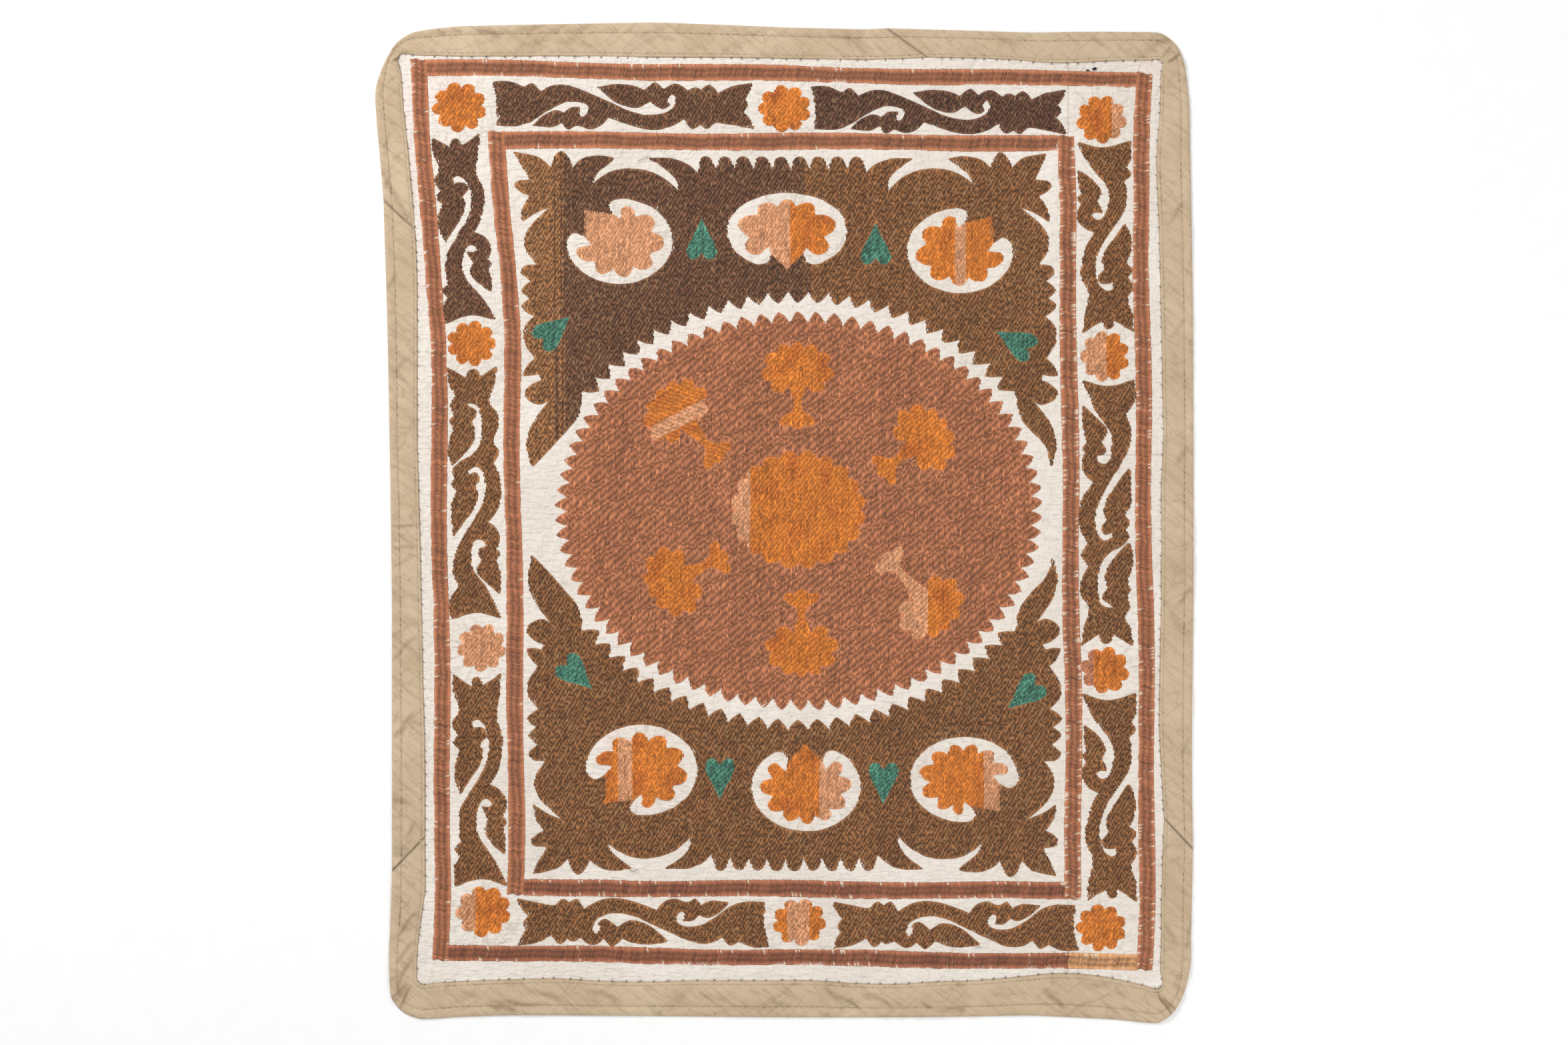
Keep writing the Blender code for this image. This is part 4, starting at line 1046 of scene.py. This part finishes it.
def ground_cotton():
    """Undyed plain-woven cotton: fine weave, faint slubs, small puckers, painted shade along thin creases and
    along the puckers round the flowers, and a few old pink stains.
    """
    look = Finish("ground cotton", 0.9, sheen=0.1)
    weave = look.times(look.rows(1500, "X", 1.5), look.rows(1500, "Y", 1.5))
    slubs = look.sum(look.speckle((900, 60, 1), detail=3.0), look.speckle((60, 900, 1), detail=3.0))
    cloud = look.speckle((7, 7, 1), detail=4.0)
    puckers = look.speckle((130, 75, 1), detail=3.0, distortion=0.8)
    bends = look.speckle((14, 60, 1), turn=12, distortion=0.6)
    pulls = look.speckle((52, 12, 1), turn=-24, distortion=0.5)
    colour = look.tint(lit((248, 239, 229)), cloud, 0.3, 0.7, 1.0, (236, 225, 213))
    colour = look.tint(colour, look.speckle((11, 8, 1)), 0.64, 0.74, 0.4, (238, 208, 202))
    colour = look.tint(colour, slubs, 0.85, 1.35, 0.16, (222, 209, 196))
    # Painted shade along thin crease lines of the cloth.
    for crease in (bends, pulls):
        colour = look.mix(look.line(crease, 0.5, 0.0, 0.012, 0.26), colour, lit((198, 182, 166)))

    # Painted shade along the pucker creases that radiate from the flowers.
    drawn = look.noted("drawn")
    rays = look.speckle((1, 1, 1), detail=4.0, distortion=0.3, source=look.noted("towards", "Vector"))
    broken = look.times(drawn, look.range(puckers, 0.42, 0.55, 0.25, 1.0))
    colour = look.mix(look.times(look.line(rays, 0.5, 0.0, 0.03, 0.5), broken), colour, lit((196, 180, 162)))
    for (x, y), reach in PINK_STAINS:
        from_middle = look.node("VectorMath", {0: look.place, 1: (x * MM, y * MM, 0)}, operation="DISTANCE")
        faint = look.range(from_middle.outputs["Value"], reach * 0.2 * MM, reach * MM, 0.5, 0.0)
        colour = look.mix(look.times(faint, cloud), colour, lit((240, 198, 200)))

    side_seam, cross_seam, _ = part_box("ground-side-upper")[0]
    places = look.node("SeparateXYZ", {0: look.place}).outputs
    beyond = look.sum(places["X"], side_seam, "GREATER_THAN")
    seams = (
        look.line(places["X"], side_seam, *SEAM_LINE),
        look.times(look.line(places["Y"], cross_seam, *SEAM_LINE), beyond))
    for seam in seams:
        colour = look.mix(seam, colour, lit((196, 180, 166)))

    level_puckers = look.speckle((55, 190, 1), detail=3.0, distortion=0.9)
    normal = look.bump(look.times(rays, drawn), 5.0 * MM, 0.7)
    normal = look.bump(look.sum(puckers, level_puckers), 3.6 * MM, 0.9, normal)
    return look.finish(colour, look.bump(weave, 0.12 * MM, 0.5, normal))


def binding_cotton():
    """Khaki cotton, cut on the bias: the weave runs slantwise, and the creases carry painted shade."""
    look = Finish("binding cotton", 0.88, sheen=0.08)
    weave = look.times(look.rows(1300, "X", 1.2, turn=45), look.rows(1300, "Y", 1.2, turn=45))
    slubs = look.speckle((700, 40, 1), detail=3.0, turn=45)
    drag = look.speckle((120, 22, 1), detail=3.0, turn=52, distortion=0.5)
    colour = look.tint(
        lit((213, 190, 160)), look.speckle((12, 12, 1), detail=5.0), 0.3, 0.7, 1.0, (199, 175, 144))
    colour = look.tint(colour, slubs, 0.55, 0.75, 0.3, (172, 150, 118))
    # Painted shade in the drag creases.
    colour = look.tint(colour, drag, 0.5, 0.3, 0.40, (170, 146, 114))
    # Painted shade along thin crease lines.
    for scale, turn in (((46, 7, 1), 55), ((9, 34, 1), 40)):
        crease = look.speckle(scale, detail=2.5, turn=turn, distortion=0.7)
        colour = look.mix(look.line(crease, 0.5, 0.0, 0.014, 0.30), colour, lit((150, 124, 94)))
    # Painted shade noted on the tape: creases, folds, stitched furrows, hemmed edge and joins.
    colour = look.tint(colour, look.noted("crease"), 0.0, 1.0, 0.85, (128, 104, 78))
    normal = look.bump(drag, 3.4 * MM, 0.9)
    return look.finish(colour, look.bump(weave, 0.15 * MM, 0.5, normal))


def sewing_thread(name, rgb):
    look = Finish(name, 0.8)
    dark = tuple(v * 0.72 for v in lit(rgb))
    colour = look.mix(look.range(look.speckle((40, 40, 40)), 0.3, 0.7, 0.0, 1.0), lit(rgb), dark)
    return look.finish(colour, look.bump(look.rows(2600, "DIAGONAL", 1.0), 0.15 * MM, 0.6))


def floor_finish():
    look = Finish("pale floor", 0.95)
    grain = look.speckle((30, 30, 30))
    colour = look.tint(lit((252, 252, 252)), grain, 0.3, 0.7, 1.0, (250, 250, 250))
    return look.finish(colour, look.bump(grain, 0.1 * MM, 0.1))


# Floor, lamps and camera.
PHOTO = dict(width=2352, mm_per_pixel=0.939, lens=90.0, sensor=36.0)
# Columns: name, power in W, width in m, position in m.
LAMPS = (("window", 116, 1.6, (-2.6, 2.4, 2.6)), ("fill", 74, 3.0, (2.8, -1.6, 3.2)))
DAYLIGHT = 0.50


def make_floor():
    shape = bmesh.new()
    bmesh.ops.create_grid(shape, x_segments=1, y_segments=1, size=4.0)
    place_shape("floor", shape, floor_finish())


def make_lamp(name, power, size, position):
    """A round lamp that points at the middle of the cloth."""
    lamp = bpy.data.lights.new(name, "AREA")
    lamp.energy = power
    lamp.shape = "DISK"
    lamp.size = size
    obj = bpy.data.objects.new(name, lamp)
    obj.location = position
    obj.rotation_euler = (-Vector(position)).to_track_quat("-Z", "Y").to_euler()
    bpy.context.scene.collection.objects.link(obj)


def make_daylight(strength):
    world = bpy.data.worlds.new("studio")
    bpy.context.scene.world = world
    world.use_nodes = True
    sky = world.node_tree.nodes["Background"]
    sky.inputs["Color"].default_value = (1.0, 1.0, 1.0, 1.0)
    sky.inputs["Strength"].default_value = strength


def make_camera():
    width = PHOTO["width"] * PHOTO["mm_per_pixel"] * MM
    camera = bpy.data.cameras.new("photo")
    camera.lens = PHOTO["lens"]
    camera.sensor_width = PHOTO["sensor"]
    camera.clip_end = 50
    obj = bpy.data.objects.new("photo", camera)
    obj.location = (0, 0, width * PHOTO["lens"] / PHOTO["sensor"])
    bpy.context.scene.collection.objects.link(obj)
    bpy.context.scene.camera = obj


def free_ground_mask(outlines):
    """Where the ground is free of silk, and where it is inside the tape, on a fine grid."""
    low, high = (np.array(corner[:2]) for corner in cad_box)
    xs, ys = (np.arange(low[k], high[k], MASK_CELL) for k in (0, 1))
    covered = np.any([inside_mask(loops, xs, ys) for loops in outlines], axis=0)
    free = 1.0 - covered
    for _ in range(2):
        free[1:-1, 1:-1] = (
            free[1:-1, 1:-1] * 2 + free[2:, 1:-1] + free[:-2, 1:-1] + free[1:-1, 2:] + free[1:-1, :-2]) / 6
    rails = [tape_rails(node) for node in NODES if node.startswith("binding")]
    hemmed = np.any([
        inside_mask([np.concatenate((inner, outer[::-1]))], xs, ys) for inner, outer in rails], axis=0)
    return dict(free=free, hemmed=hemmed, low=low, last=(len(xs) - 1, len(ys) - 1))


def main():
    bpy.context.scene.view_settings.view_transform = "Standard"
    silk_finish = silk()
    worked = free_ground_mask([make_worked_area(node, silk_finish) for node in WORKED])
    make_floor()
    cotton, tape = ground_cotton(), binding_cotton()
    for node in NODES:
        if node.startswith("ground"):
            make_ground(node, worked, cotton)
    strips = [
        make_tape(node, tape, seed * 3.7)
        for seed, node in enumerate(n for n in NODES if n.startswith("binding"))]
    running, hemming = tape_stitches(strips)
    thread = {name: sewing_thread(name + " thread", rgb) for name, rgb in SEWING_THREADS.items()}
    sewn("running-stitches", running, thread["grey"])
    sewn("hemming-stitches", hemming, thread["khaki"])
    for name, colour, thick, route in LOOSE_ENDS:
        make_loose_end(name, thick, route, thread[colour])
    sewn("ink-spots", INK_SPOTS, sewing_thread("ink", INK))
    for lamp in LAMPS:
        make_lamp(*lamp)
    make_daylight(DAYLIGHT)
    make_camera()


main()
